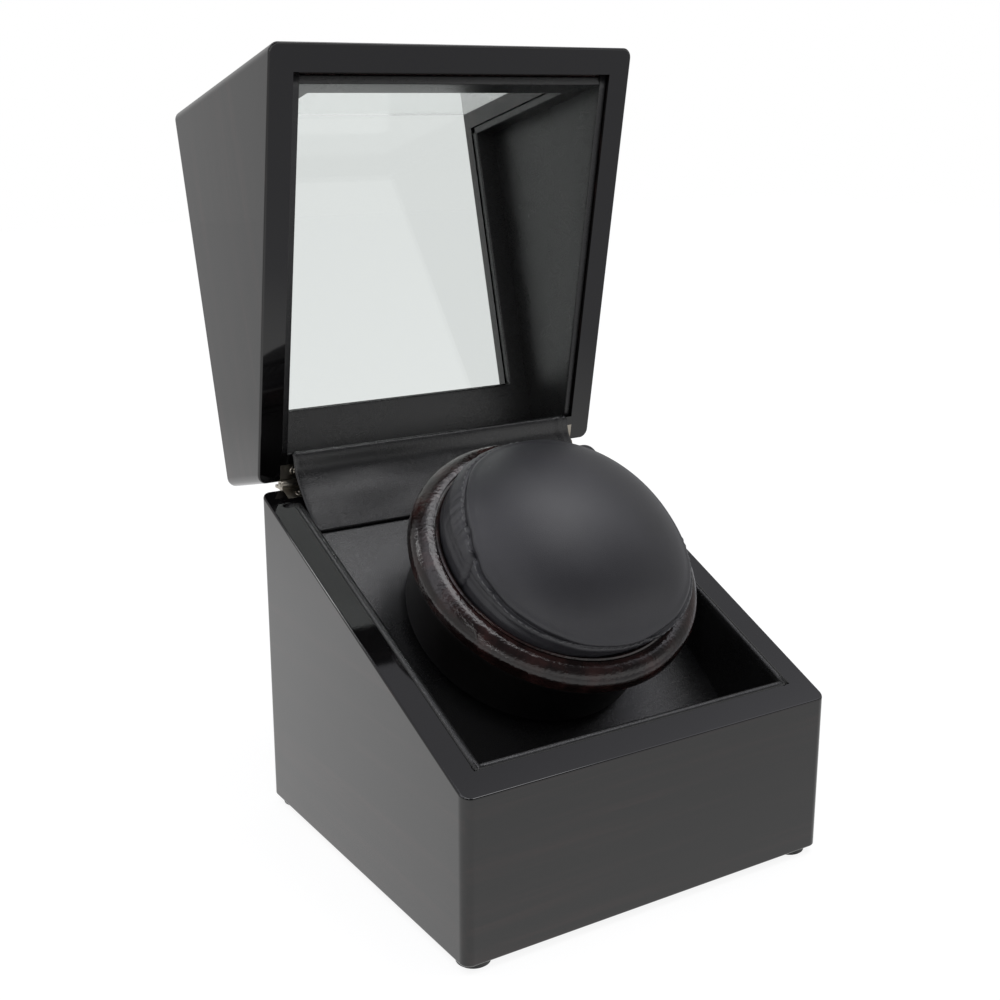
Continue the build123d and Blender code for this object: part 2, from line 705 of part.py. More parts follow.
def lid_top_lining():
    """Covered U on the inside of the top board, round the window."""
    x = INNER_W - LINING + 0.9
    shape = block(-x, x, -INNER_D, INNER_D - BACK_LINING, TOP_LINING_Z, CEILING)
    edge = WINDOW_HALF + LINING_BACK
    back = WINDOW_BACK + LINING_BACK
    shape -= block(-edge, edge, -INNER_D - 1, back, TOP_LINING_Z - 1, CEILING + 1)
    inner = [e for e in shape.edges() if abs(e.center().Z - TOP_LINING_Z) < 1e-3]
    inner = [e for e in inner if abs(e.center().X) < edge + 0.1 and -INNER_D + 1 < e.center().Y < back + 0.1]
    return fillet(inner, 1.5)


def lid_front_lining():
    """Covered U on the inside of the front board."""
    x = INNER_W - LINING + 0.9
    wall = -INNER_D
    face = wall + LINING
    bottom = RIM_GAP + LINING_UNDER
    points = [(wall, rim_z(wall, bottom)), (face, rim_z(face, bottom))]
    points += [(face, TOP_LINING_Z), (wall, TOP_LINING_Z)]
    shape = side_prism(points, -x, x)
    edge = WINDOW_HALF + LINING_BACK
    rail = FRONT_RAIL_TOP - LINING_BACK
    shape -= block(-edge, edge, wall - 1, face + 1, rail, TOP_LINING_Z + 1)
    inner = [e for e in shape.edges() if abs(e.center().Y - face) < 1e-3 and abs(e.center().X) < edge + 0.1]
    inner = [e for e in inner if rail - 0.1 < e.center().Z < TOP_LINING_Z - 1]
    return fillet(inner, 1.5)


def lid_back_lining():
    """Thin covering glued on the back board."""
    x = INNER_W - LINING + 0.9
    face = INNER_D - BACK_LINING
    bottom = RIM_GAP + LINING_UNDER
    points = [(face, rim_z(face, bottom)), (INNER_D, rim_z(INNER_D, bottom))]
    points += [(INNER_D, CEILING), (face, CEILING)]
    return side_prism(points, -x, x)


def to_open(y, z):
    """Where a (y, z) point of the closed lid lies when the lid is open."""
    a = radians(LID_OPEN)
    dy = y - PIVOT_Y
    dz = z - PIVOT_Z
    return (dy * cos(a) + dz * sin(a) + PIVOT_Y, -dy * sin(a) + dz * cos(a) + PIVOT_Z)


def hinge_flap():
    """Soft strip that hangs from the lid's back lining to the inclined board and hides the hinges."""
    face = INNER_D - BACK_LINING - FLAP_THICKNESS / 2 - 0.05
    top = to_open(face, 150)
    lip = to_open(face, rim_z(face, RIM_GAP + 0.6))
    middle = [top, (lip[0] - 1.0, lip[1]), (78.8, 147.6), (75.8, 142.6), (72.0, 137.4), (67.2, 131.8)]
    middle.append((61.0, board_z(61.0, 0.9)))
    path = Spline(*middle)
    inner = []
    outer = []
    for i in range(FLAP_STEPS + 1):
        spot = path @ (i / FLAP_STEPS)
        run = (path % (i / FLAP_STEPS)) * (FLAP_THICKNESS / 2)
        inner.append((spot.X + run.Y, spot.Y - run.X))
        outer.append((spot.X - run.Y, spot.Y + run.X))
    return side_prism(inner + outer[::-1], -FLAP_HALF, FLAP_HALF)


def build():
    """All pieces by name, at the photographed pose."""
    parts = {}
    parts.update(base_boards())
    parts["base_floor"] = base_floor()
    corners = (("front_left", -1, -1), ("front_right", 1, -1), ("back_left", -1, 1), ("back_right", 1, 1))
    for name, sx, sy in corners:
        parts["foot_" + name] = foot(sx * (HALF_W - FOOT_IN), sy * (HALF_D - FOOT_IN))
    parts["base_left_lining"] = base_side_lining(-1)
    parts["base_right_lining"] = base_side_lining(1)
    parts["base_front_lining"] = base_front_lining()
    parts["drum_board"] = drum_board()
    parts["drum_bush"] = drum_bush()
    parts["gearbox_pan"] = gearbox_pan()
    parts["idler_pin"] = idler_pin()
    parts["motor_can"] = motor_can()
    parts["control_board"] = control_board()
    parts["board_posts"] = board_posts()
    parts["power_socket"] = power_socket()
    parts["selector_body"] = selector_body()
    for name, x in (("left", -HINGE_X), ("right", HINGE_X)):
        parts["hinge_base_leaf_" + name] = hinge_base_leaf(x)
        parts["hinge_pin_" + name] = hinge_pin(x)
        parts["hinge_lid_leaf_" + name] = opened(hinge_lid_leaf(x))
    parts["hinge_flap"] = hinge_flap()

    lid = lid_boards()
    lid.update(lid_panes())
    lid["lid_left_lining"] = lid_side_lining(-1)
    lid["lid_right_lining"] = lid_side_lining(1)
    lid["lid_top_lining"] = lid_top_lining()
    lid["lid_front_lining"] = lid_front_lining()
    lid["lid_back_lining"] = lid_back_lining()
    for name, shape in lid.items():
        parts[name] = opened(shape)

    parts["drum_ring"] = drum_ring()
    parts["drum_cup"] = drum_cup()
    parts["cup_liner"] = cup_liner()
    parts["cup_pad"] = cup_pad()
    parts["drum_shaft"] = drum_shaft()
    parts["drum_gear"] = drum_gear()
    parts.update(cushion_parts())
    parts["idler_gear"] = idler_gear()
    parts["motor_pinion"] = motor_pinion()
    parts["motor_rotor"] = motor_rotor()
    parts["knob_spindle"] = knob_spindle()
    parts["mode_knob"] = mode_knob()
    return parts


if __name__ == "__main__":
    os.makedirs("parts", exist_ok=True)
    for name, shape in build().items():
        export_step(shape, "parts/" + name + ".step")
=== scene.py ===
"""A watch winder: gloss ebony case, glazed lid standing open, turning drum and its stuffed cushion."""

import json
import logging
from dataclasses import dataclass, field
from enum import Enum
from itertools import accumulate
from math import asin, cos, dist, exp, hypot, inf, pi, radians, sin, sqrt, tau
from typing import Callable, Iterable, Sequence

import bpy
from mathutils import Matrix, Vector, noise


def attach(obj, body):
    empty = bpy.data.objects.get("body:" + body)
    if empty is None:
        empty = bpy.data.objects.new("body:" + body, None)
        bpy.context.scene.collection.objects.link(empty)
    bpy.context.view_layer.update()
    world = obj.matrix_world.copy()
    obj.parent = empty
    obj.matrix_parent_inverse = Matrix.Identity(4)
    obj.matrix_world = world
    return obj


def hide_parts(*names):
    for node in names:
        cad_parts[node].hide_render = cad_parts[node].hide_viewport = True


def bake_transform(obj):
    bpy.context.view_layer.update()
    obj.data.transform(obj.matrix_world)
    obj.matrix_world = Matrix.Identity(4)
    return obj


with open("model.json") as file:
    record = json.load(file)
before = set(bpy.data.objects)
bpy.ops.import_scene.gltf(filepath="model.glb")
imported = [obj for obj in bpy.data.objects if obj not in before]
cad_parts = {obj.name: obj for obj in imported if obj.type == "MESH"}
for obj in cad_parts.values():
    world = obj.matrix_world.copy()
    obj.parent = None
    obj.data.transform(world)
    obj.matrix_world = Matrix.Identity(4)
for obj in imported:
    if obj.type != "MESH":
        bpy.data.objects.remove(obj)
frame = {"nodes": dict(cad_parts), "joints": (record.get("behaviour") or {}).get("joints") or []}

LOG = logging.getLogger("winder")
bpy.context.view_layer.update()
MM = 0.001
X, Y, Z = Vector((1.0, 0.0, 0.0)), Vector((0.0, 1.0, 0.0)), Vector((0.0, 0.0, 1.0))

Colour = tuple[float, float, float]
Pair = tuple[float, float]
Triple = tuple[float, float, float]
Four = tuple[float, float, float, float]
Stops = Sequence[tuple[float, Colour]]
Stand = Callable[[Vector], Vector]


class Body(Enum):
    """The bodies that the pieces ride on."""

    BASE = "base"
    LID = "lid"
    CUSHION = "cushion"


class Grain(Enum):
    """How a veneered board's grain runs, as the stretch of its pattern along X, Y and Z."""

    ACROSS = (5.0, 170.0, 170.0)
    DEEP = (170.0, 5.0, 170.0)


def grey(value: float, blue: float = 0.0) -> Colour:
    """A grey, with a little more blue where asked."""
    return (value, value, value + blue)


class Signal:
    """A socket of a node tree, on which arithmetic adds Math nodes."""

    def __init__(self, bench: "Bench", socket: bpy.types.NodeSocket) -> None:
        """Keeps the socket and the bench that it is on."""
        self.bench = bench
        self.socket = socket

    def _math(self, operation: str, *values: "Signal | float") -> "Signal":
        """Adds one Math node with those inputs."""
        return self.bench.node("ShaderNodeMath", dict(enumerate(values)), operation=operation)

    def __add__(self, other: "Signal | float") -> "Signal":
        """Sum."""
        return self._math("ADD", self, other)

    def __sub__(self, other: "Signal | float") -> "Signal":
        """Difference."""
        return self._math("SUBTRACT", self, other)

    def __rsub__(self, other: "Signal | float") -> "Signal":
        """Difference from a number."""
        return self._math("SUBTRACT", other, self)

    def __mul__(self, other: "Signal | float") -> "Signal":
        """Product."""
        return self._math("MULTIPLY", self, other)

    def over(self, edge: float) -> "Signal":
        """One where the value is over the edge, else zero."""
        return self._math("GREATER_THAN", self, edge)

    def spread(self, low: float, high: float) -> "Signal":
        """The value from low to high, smoothed to 0 to 1."""
        values = {"Value": self, "From Min": low, "From Max": high}
        return self.bench.node("ShaderNodeMapRange", values, interpolation_type="SMOOTHSTEP")


class Bench:
    """The node tree of one material or world."""

    def __init__(self, tree: bpy.types.NodeTree) -> None:
        """Clears the tree."""
        self.tree = tree
        tree.nodes.clear()

    def add(self, kind: str, values: dict, **settings: object) -> bpy.types.Node:
        """Adds any node.

        Args:
            kind: The node's type.
            values: The values or links of its sockets, by name or place.
            settings: Its own settings, set first; stops holds a ramp's places and colours.

        Returns:
            The node.
        """
        made = self.tree.nodes.new(kind)
        for name, value in settings.items():
            if name == "stops":
                self._stops(made.color_ramp, value)
            else:
                setattr(made, name, value)
        for key, value in values.items():
            socket = made.inputs[key]
            if isinstance(value, Signal):
                self.tree.links.new(value.socket, socket)
            else:
                socket.default_value = (*value, 1.0) if socket.type == "RGBA" else value
        return made

    @staticmethod
    def _stops(ramp: bpy.types.ColorRamp, stops: Stops) -> None:
        """Sets a ramp's stops.

        Args:
            ramp: The ramp.
            stops: Place and colour of each.
        """
        while len(ramp.elements) < len(stops):
            ramp.elements.new(0.5)
        for element, (place, colour) in zip(ramp.elements, stops):
            element.position = place
            element.color = (*colour, 1.0)

    def node(self, kind: str, values: dict, output: int | str = 0, **settings: object) -> Signal:
        """Adds any node and gives one of its outputs."""
        return Signal(self, self.add(kind, values, **settings).outputs[output])

    def coords(self, kind: str = "Object") -> Signal:
        """Coordinates of a kind, where the object's are the frame's own."""
        return self.node("ShaderNodeTexCoord", {}, kind)

    def ray(self, kind: str) -> Signal:
        """One for rays of that kind, else zero."""
        return self.node("ShaderNodeLightPath", {}, f"Is {kind} Ray")

    def turned(self, where: Signal, turn: Triple, stretch: Triple) -> Signal:
        """Coordinates turned about X, Y and Z in radians, then stretched along them."""
        moved = self.node("ShaderNodeMapping", {"Vector": where, "Rotation": turn})
        return self.node("ShaderNodeVectorMath", {0: moved, 1: stretch}, operation="MULTIPLY")

    def noise(self, where: Signal, scale: float, detail: float = 3.0, rough: float = 0.55) -> Signal:
        """Noise from 0 to 1, with scale cells per metre, detail octaves, and rough their fall-off."""
        values = {"Vector": where, "Scale": scale, "Detail": detail, "Roughness": rough}
        return self.node("ShaderNodeTexNoise", values)

    def cells(self, where: Signal, scale: float) -> Signal:
        """Distance to the nearest cell border of a pattern with that many cells per metre."""
        values = {"Vector": where, "Scale": scale}
        return self.node("ShaderNodeTexVoronoi", values, feature="DISTANCE_TO_EDGE")

    def blend(self, share: Signal, first: Colour | Signal, second: Colour | Signal) -> Signal:
        """Mixes two colours by the share of the second."""
        return self.node("ShaderNodeMix", {0: share, 6: first, 7: second}, 2, data_type="RGBA")

    def mix(self, share: Signal, first: Signal, second: Signal) -> Signal:
        """Mixes two shaders by the share of the second."""
        return self.node("ShaderNodeMixShader", {0: share, 1: first, 2: second})

    def bump(self, height: Signal, depth: float) -> Signal:
        """Normal of a surface with that height, where 1 stands for depth in metres."""
        return self.node("ShaderNodeBump", {"Height": height, "Distance": depth})

    def surface(self, **sockets: Signal | float | Colour) -> Signal:
        """Principled shader with those sockets, named with underscores for spaces."""
        values = {key.replace("_", " "): value for key, value in sockets.items()}
        return self.node("ShaderNodeBsdfPrincipled", values)

    def deliver(self, shader: Signal, kind: str = "ShaderNodeOutputMaterial") -> None:
        """Links the shader to the tree's output."""
        self.add(kind, {0: shader})

    def coat(self, **sockets: Signal | float | Colour) -> None:
        """Delivers a Principled shader with those sockets."""
        self.deliver(self.surface(**sockets))


class Finish:
    """A finish that is made once and shared by the pieces that carry it."""

    name: str

    def dress(self, bench: Bench) -> None:
        """Builds the nodes on the bench."""
        raise NotImplementedError

    def material(self) -> bpy.types.Material:
        """Gives the finish's material, which is made at first use.

        Returns:
            The material.
        """
        found = bpy.data.materials.get(self.name)
        if found is None:
            found = bpy.data.materials.new(self.name)
            found.use_nodes = True
            self.dress(Bench(found.node_tree))
        return found


@dataclass(frozen=True)
class Lacquer(Finish):
    """Dark ebony veneer, striped along its grain, under polished lacquer."""

    name: str
    grain: Grain
    lean: float = 0.0
    rim: Colour = (0.0, -0.4023, 0.9155)
    black: Colour = (0.0030, 0.0027, 0.0030)
    brown: Colour = (0.0300, 0.0150, 0.0135)
    broad_share: float = 0.75
    wave_deep: float = 0.00004

    def dress(self, bench: Bench) -> None:
        """Builds stripes, plain black on the rim, and a slow, faint wave under polish.

        Args:
            bench: The bench.
        """
        here = bench.coords()
        along = bench.turned(here, (self.lean, 0.0, 0.0), self.grain.value)
        broad = bench.noise(along, 1.0, 4.0, 0.62).spread(0.46, 0.74)
        fine = bench.noise(along, 4.5, 2.0, 0.5).spread(0.5, 0.8)
        stripes = broad * self.broad_share + fine * (1.0 - self.broad_share)
        sides = {0: bench.coords("Normal"), 1: self.rim}
        toward = bench.node("ShaderNodeVectorMath", sides, "Value", operation="DOT_PRODUCT")
        off_rim = 1.0 - toward.spread(0.55, 0.9)
        haze = bench.noise(here, 26.0, 2.0)
        bench.coat(
            Base_Color=bench.blend(stripes * off_rim, self.black, self.brown),
            Roughness=haze * 0.03 + 0.03,
            IOR=1.52,
            Normal=bench.bump(bench.noise(here, 30.0, 1.0), self.wave_deep),
        )


@dataclass(frozen=True)
class GlossBand(Finish):
    """Dark red-brown gloss of the drum's front ring."""

    name: str = "ring_gloss"
    dark: Colour = (0.010, 0.0055, 0.005)
    warm: Colour = (0.045, 0.018, 0.016)
    wave_deep: float = 0.00016

    def dress(self, bench: Bench) -> None:
        """Builds a mottled brown under a wavy, hard gloss.

        Args:
            bench: The bench.
        """
        here = bench.coords()
        patch = bench.noise(here, 70.0, 4.0, 0.6)
        ripple = bench.noise(here, 780.0, 2.0, 0.6)
        slow = bench.noise(here, 120.0, 1.0)
        bench.coat(
            Base_Color=bench.blend(patch.spread(0.42, 0.72), self.dark, self.warm),
            Roughness=patch * 0.05 + 0.04,
            IOR=1.44,
            Normal=bench.bump(ripple + slow * 1.2, self.wave_deep),
        )


@dataclass(frozen=True)
class Leatherette(Finish):
    """Fine grained black leatherette with soft wear and slow waves."""

    name: str
    tone: Colour = (0.0105, 0.0105, 0.0108)
    worn: Colour = (0.0160, 0.0160, 0.0165)
    sheen: float = 0.28
    pebble: float = 1500.0
    depth: float = 0.000035

    def dress(self, bench: Bench) -> None:
        """Builds pebble grain, tone and gloss variation.

        Args:
            bench: The bench.
        """
        here = bench.coords()
        pebbles = bench.cells(here, self.pebble).spread(0.0, 0.28)
        fibre = bench.noise(here, 5200.0, 2.0)
        cloud = bench.noise(here, 42.0, 3.0)
        wear = cloud.spread(0.35, 0.7) * (pebbles * 0.5 + 0.5)
        bench.coat(
            Base_Color=bench.blend(wear, self.tone, self.worn),
            Roughness=cloud * 0.08 + self.sheen - pebbles * 0.05,
            IOR=1.5,
            Normal=bench.bump(pebbles * 0.8 + fibre * 0.25 + cloud * 1.4, self.depth),
        )


@dataclass(frozen=True)
class Moulded(Finish):
    """Moulded plastic or rubber with a fine spark-eroded grain."""

    name: str
    tone: Colour
    gloss: float = 0.45
    grain: float = 2600.0
    depth: float = 0.00002

    def dress(self, bench: Bench) -> None:
        """Builds an eroded grain and slight tone change.

        Args:
            bench: The bench.
        """
        here = bench.coords()
        speck = bench.noise(here, self.grain, 2.0)
        cloud = bench.noise(here, 60.0, 2.0)
        pale = tuple(min(1.0, c * 1.35 + 0.004) for c in self.tone)
        bench.coat(
            Base_Color=bench.blend(cloud.spread(0.3, 0.75), self.tone, pale),
            Roughness=speck * 0.12 + self.gloss,
            Normal=bench.bump(speck, self.depth),
        )


@dataclass(frozen=True)
class Metal(Finish):
    """Plated, ground or turned metal."""

    name: str
    tone: Colour
    polish: float = 0.25
    scratch: float = 900.0
    depth: float = 0.000012

    def dress(self, bench: Bench) -> None:
        """Builds fine tool marks and dull patches.

        Args:
            bench: The bench.
        """
        here = bench.coords()
        marks = bench.noise(bench.turned(here, (0.0, 0.0, 0.0), (1.0, 0.08, 1.0)), self.scratch, 3.0)
        dull = bench.noise(here, 160.0, 3.0).spread(0.4, 0.8)
        shade = tuple(c * 0.72 for c in self.tone)
        bench.coat(
            Base_Color=bench.blend(dull, self.tone, shade),
            Metallic=1.0,
            Roughness=marks * 0.14 + self.polish,
            Normal=bench.bump(marks, self.depth),
        )


@dataclass(frozen=True)
class Fibre(Finish):
    """Felt, foam, card or thread."""

    name: str
    tone: Colour
    scale: float = 1800.0
    depth: float = 0.0001

    def dress(self, bench: Bench) -> None:
        """Builds a fuzzy, open surface.

        Args:
            bench: The bench.
        """
        here = bench.coords()
        fuzz = bench.noise(here, self.scale, 4.0, 0.7)
        pores = bench.cells(here, self.scale * 0.45).spread(0.0, 0.2)
        dim = tuple(c * 0.6 for c in self.tone)
        bench.coat(
            Base_Color=bench.blend(fuzz * pores, dim, self.tone),
            Roughness=fuzz * 0.1 + 0.86,
            Sheen_Weight=0.25,
            Normal=bench.bump(fuzz + pores * 0.5, self.depth),
        )


@dataclass(frozen=True)
class Pane(Finish):
    """Faintly green clear pane that lets shadow rays through."""

    name: str = "pane"
    tint: Colour = (0.725, 0.755, 0.742)
    let_through: Colour = (0.84, 0.87, 0.86)

    def dress(self, bench: Bench) -> None:
        """Builds clear glass with a trace of wipe marks.

        Args:
            bench: The bench.
        """
        wipe = bench.noise(bench.turned(bench.coords(), (0.0, 0.0, 0.5), (1.0, 0.2, 0.6)), 60.0, 4.0)
        glass = bench.surface(
            Base_Color=self.tint,
            Roughness=wipe.spread(0.55, 0.95) * 0.02,
            IOR=1.49,
            Transmission_Weight=1.0,
        )
        clear = bench.node("ShaderNodeBsdfTransparent", {0: self.let_through})
        bench.deliver(bench.mix(bench.ray("Shadow"), glass, clear))


@dataclass(frozen=True)
class Circuit(Finish):
    """Green solder mask with faint copper runs."""

    name: str = "circuit"
    mask: Colour = (0.012, 0.085, 0.035)
    copper: Colour = (0.03, 0.16, 0.06)
    run_wide: float = 0.05

    def dress(self, bench: Bench) -> None:
        """Builds straight runs under a gloss mask.

        Args:
            bench: The bench.
        """
        lines = 1.0 - bench.cells(bench.coords(), 240.0).over(self.run_wide)
        bench.coat(Base_Color=bench.blend(lines, self.mask, self.copper), Roughness=lines * 0.1 + 0.2)


@dataclass(frozen=True)
class Ground(Finish):
    """White floor that keeps the object's shadow and is brighter or darker in reflections."""

    name: str = "floor"
    paint: Colour = grey(0.86)
    seen: Colour = grey(1.24)
    behind: Colour = grey(1.06)
    left: Colour = grey(1.45)
    far_left: Colour = grey(0.82)
    right: Stops = (
        (0.0, grey(0.96)), (0.3, grey(0.96)), (0.45, grey(0.64, 0.03)), (1.0, grey(0.60, 0.03)))
    eye_share: float = 0.72
    mirror_share: float = 0.9

    def dress(self, bench: Bench) -> None:
        """Builds paint that glows as much as each kind of ray should see.

        Args:
            bench: The bench.
        """
        here = bench.coords()
        grain = bench.bump(bench.noise(here, 900.0, 2.0), 0.00002)
        pale = bench.surface(Base_Color=self.paint, Roughness=0.7, Normal=grain)
        camera, glossy, through = (bench.ray(kind) for kind in ("Camera", "Glossy", "Transmission"))
        away = bench.node("ShaderNodeVectorMath", {0: here}, "Value", operation="LENGTH")
        left = bench.blend(away.spread(0.3, 1.0), self.left, self.far_left)
        right = bench.node("ShaderNodeValToRGB", {0: away}, stops=self.right)
        across = bench.node("ShaderNodeSeparateXYZ", {0: here})
        mirrored = bench.blend(across.spread(-0.35, 0.25), left, right)
        shown = bench.blend(camera, bench.blend(through, mirrored, self.behind), self.seen)
        glow = bench.node("ShaderNodeEmission", {0: shown, 1: 1.0})
        share = camera * self.eye_share + (glossy + through).spread(0.0, 1.0) * self.mirror_share
        bench.deliver(bench.mix(share, pale, glow))


LACQUER_ACROSS = Lacquer("ebony_across", Grain.ACROSS)
LACQUER_DEEP = Lacquer("ebony_deep", Grain.DEEP)
LINING = Leatherette("lining_leatherette")
STRIP = Leatherette("strip_leatherette", sheen=0.24)
# The cushion cover: its own leatherette tone, made lighter and bluer than the linings' as painted sheen that
# stands in for the broad bluish highlight on the dome.
COVER_TONE_AND_SHEEN = Leatherette(
    "cushion_leatherette", (0.0240, 0.0238, 0.0280), (0.0310, 0.0308, 0.0360), 0.40, 1900.0, 0.00002)
BLACK_PLASTIC = Moulded("black_plastic", (0.012, 0.012, 0.0125))
DRUM_SHELL = Moulded("drum_shell", (0.0042, 0.0036, 0.0036), 0.3)
RUBBER = Moulded("foot_rubber", grey(0.010), 0.6, 1500.0)
GEAR_PLASTIC = Moulded("gear_plastic", (0.62, 0.60, 0.53), 0.38)
FLOOR_PAINT = Moulded("floor_paint", (0.014, 0.0125, 0.012), 0.5, 900.0, 0.00005)
NICKEL = Metal("nickel", (0.36, 0.33, 0.28), 0.24)
STEEL = Metal("steel", grey(0.55), 0.28)
BRASS = Metal("brass", (0.62, 0.44, 0.18), 0.24)
FELT = Fibre("felt", (0.014, 0.014, 0.015))
FOAM = Fibre("foam", (0.16, 0.16, 0.165), 900.0, 0.0003)
CARD = Fibre("card", (0.035, 0.033, 0.03), 2400.0, 0.00004)
THREAD = Fibre("thread", (0.20, 0.20, 0.205), 5200.0, 0.00003)


def in_turn(items: Sequence) -> Iterable[tuple]:
    """Each item with the next, and the last with the first."""
    return zip(items, [*items[1:], items[0]])


def runs_of(points: Sequence[Sequence[float]]) -> list[float]:
    """Distance along a line to each of its points."""
    return list(accumulate((dist(a, b) for a, b in zip(points, points[1:])), initial=0.0))


def between(low: float, high: float, share: float) -> float:
    """The value that far from low to high."""
    return low + (high - low) * share


def ease(share: float) -> float:
    """The share, slow at both ends."""
    return share * share * (3 - 2 * share)


def read_off(rows: Sequence[Sequence[float]], at: float, straight_to: float = -inf) -> tuple[float, ...]:
    """Reads a table between its rows, along eased steps.

    Args:
        rows: Rows of a place and its values.
        at: The place to read.
        straight_to: Up to which row the steps are straight.

    Returns:
        The values.
    """
    for (a, *first), (b, *second) in zip(rows, rows[1:]):
        if at <= b:
            share = max(0.0, (at - a) / (b - a))
            share = ease(share) if b > straight_to else share
            return tuple(between(p, q, share) for p, q in zip(first, second))
    return tuple(rows[-1][1:])


def bell(off: float, wide: float) -> float:
    """One in the middle, falling off to nothing over a few widths."""
    return exp(-((off / wide) ** 2))


@dataclass
class Shell:
    """A mesh in the making, as loops of points that are joined and closed."""

    points: list[Vector] = field(default_factory=list)
    faces: list[tuple[int, ...]] = field(default_factory=list)

    def loop(self, points: Iterable[Vector]) -> list[int]:
        """Adds points.

        Args:
            points: The points in order.

        Returns:
            Their numbers.
        """
        start = len(self.points)
        self.points.extend(points)
        return list(range(start, len(self.points)))

    def skin(self, loops: Sequence[Sequence[int]], closed: bool = True) -> None:
        """Joins each loop to the next, of the same length, by quads.

        Args:
            loops: The loops.
            closed: Whether they close on themselves.
        """
        for first, second in zip(loops, loops[1:]):
            for i in range(len(first) if closed else len(first) - 1):
                j = (i + 1) % len(first)
                self.faces.append((first[i], first[j], second[j], second[i]))

    def fill(self, loops: Sequence[Sequence[int]]) -> None:
        """Joins loops and closes both ends with triangles round their middles.

        Args:
            loops: The loops.
        """
        self.skin(loops)
        for loop in (loops[-1], loops[0][::-1]):
            middle = self.loop([sum((self.points[i] for i in loop), Vector()) / len(loop)])[0]
            self.faces += [(i, j, middle) for i, j in in_turn(loop)]

    def piece(self, name: str, finish: Finish, body: Body | None = None) -> bpy.types.Object:
        """Makes the object.

        Args:
            name: Its name.
            finish: Its finish.
            body: The body that it rides on, or None for scenery and for a piece that hangs between two, which
                is then attached to no body.

        Returns:
            The object.
        """
        mesh = bpy.data.meshes.new(name)
        mesh.from_pydata([tuple(p) for p in self.points], [], self.faces)
        mesh.validate()
        mesh.polygons.foreach_set("use_smooth", [True] * len(mesh.polygons))
        mesh.materials.append(finish.material())
        made = bpy.data.objects.new(name, mesh)
        bpy.context.scene.collection.objects.link(made)
        if body:
            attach(made, body.value)
        LOG.info("%s: %d faces", name, len(mesh.polygons))
        return made


def paint(finish: Finish, *nodes: str) -> None:
    """Gives nodes of the frame a finish.

    Args:
        finish: The finish.
        nodes: The nodes' names.
    """
    for name in nodes:
        for held in frame["nodes"][name].material_slots:
            held.material = finish.material()
        LOG.info("%s: %s", name, finish.name)


@dataclass(frozen=True)
class Wall:
    """The inside of a wall: a start, the ways along, up and out of it, and what stands it in the frame."""

    start: Vector
    along: Vector
    up: Vector
    out: Vector
    stand: Stand = Vector

    def at(self, u: float, v: float, w: float) -> Vector:
        """The frame's point that many millimetres along, up and out."""
        return self.stand((self.start + self.along * u + self.up * v + self.out * w) * MM)


@dataclass
class PaddedPanel:
    """A covered board with half-round edges and a slightly crowned field, its corners counter-clockwise."""

    wall: Wall
    corners: Sequence[Pair]
    thick: float = 3.5
    crown: float = 0.3
    reach: float = 14.0
    nose: float = 1.75
    steps: int = 28
    quarter: int = 5
    crown_rows: Sequence[float] = (0.1, 0.3, 0.6, 1.0)

    def _profile(self) -> list[Pair]:
        """Gives the panel's section from the edge inwards.

        Returns:
            Distances from the edge and heights, in millimetres.
        """
        nose = min(self.nose, self.thick / 2)
        rows = []
        for lift, start in ((nose, 0), (self.thick - nose, 90)):
            for i in range(self.quarter + 1):
                turn = radians(start + 90 * i / self.quarter)
                rows.append((nose - nose * sin(turn), lift - nose * cos(turn)))
        for share in self.crown_rows:
            inward = nose + (self.reach - nose) * share
            rows.append((inward, self.thick + self.crown * (1 - (1 - share) ** 2)))
        return rows

    def _inset(self, distance: float) -> list[Pair]:
        """Corners of the panel moved in.

        Args:
            distance: Millimetres from each edge.

        Returns:
            The corners.
        """
        lines = []
        for (ax, ay), (bx, by) in in_turn(self.corners):
            long = hypot(bx - ax, by - ay)
            nx, ny = -(by - ay) / long, (bx - ax) / long
            lines.append((nx, ny, nx * ax + ny * ay + distance))
        moved = []
        for a, b in zip([lines[-1], *lines], lines):
            det = a[0] * b[1] - a[1] * b[0]
            moved.append(((a[2] * b[1] - b[2] * a[1]) / det, (a[0] * b[2] - b[0] * a[2]) / det))
        return moved

    def build(self, node: str, body: Body) -> None:
        """Builds the panel as the lining that stands for a node.

        Args:
            node: The node.
            body: The body that it rides on.
        """
        shell = Shell()
        loops = []
        for inset, height in self._profile():
            ring = []
            for (ax, ay), (bx, by) in in_turn(self._inset(inset)):
                for share in (k / self.steps for k in range(self.steps)):
                    ring.append(self.wall.at(between(ax, bx, share), between(ay, by, share), height))
            loops.append(shell.loop(ring))
        shell.skin(loops)
        shell.faces += [tuple(loops[-1]), tuple(reversed(loops[0]))]
        made = shell.piece(f"{node}_cover", LINING, body)
        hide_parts(node)


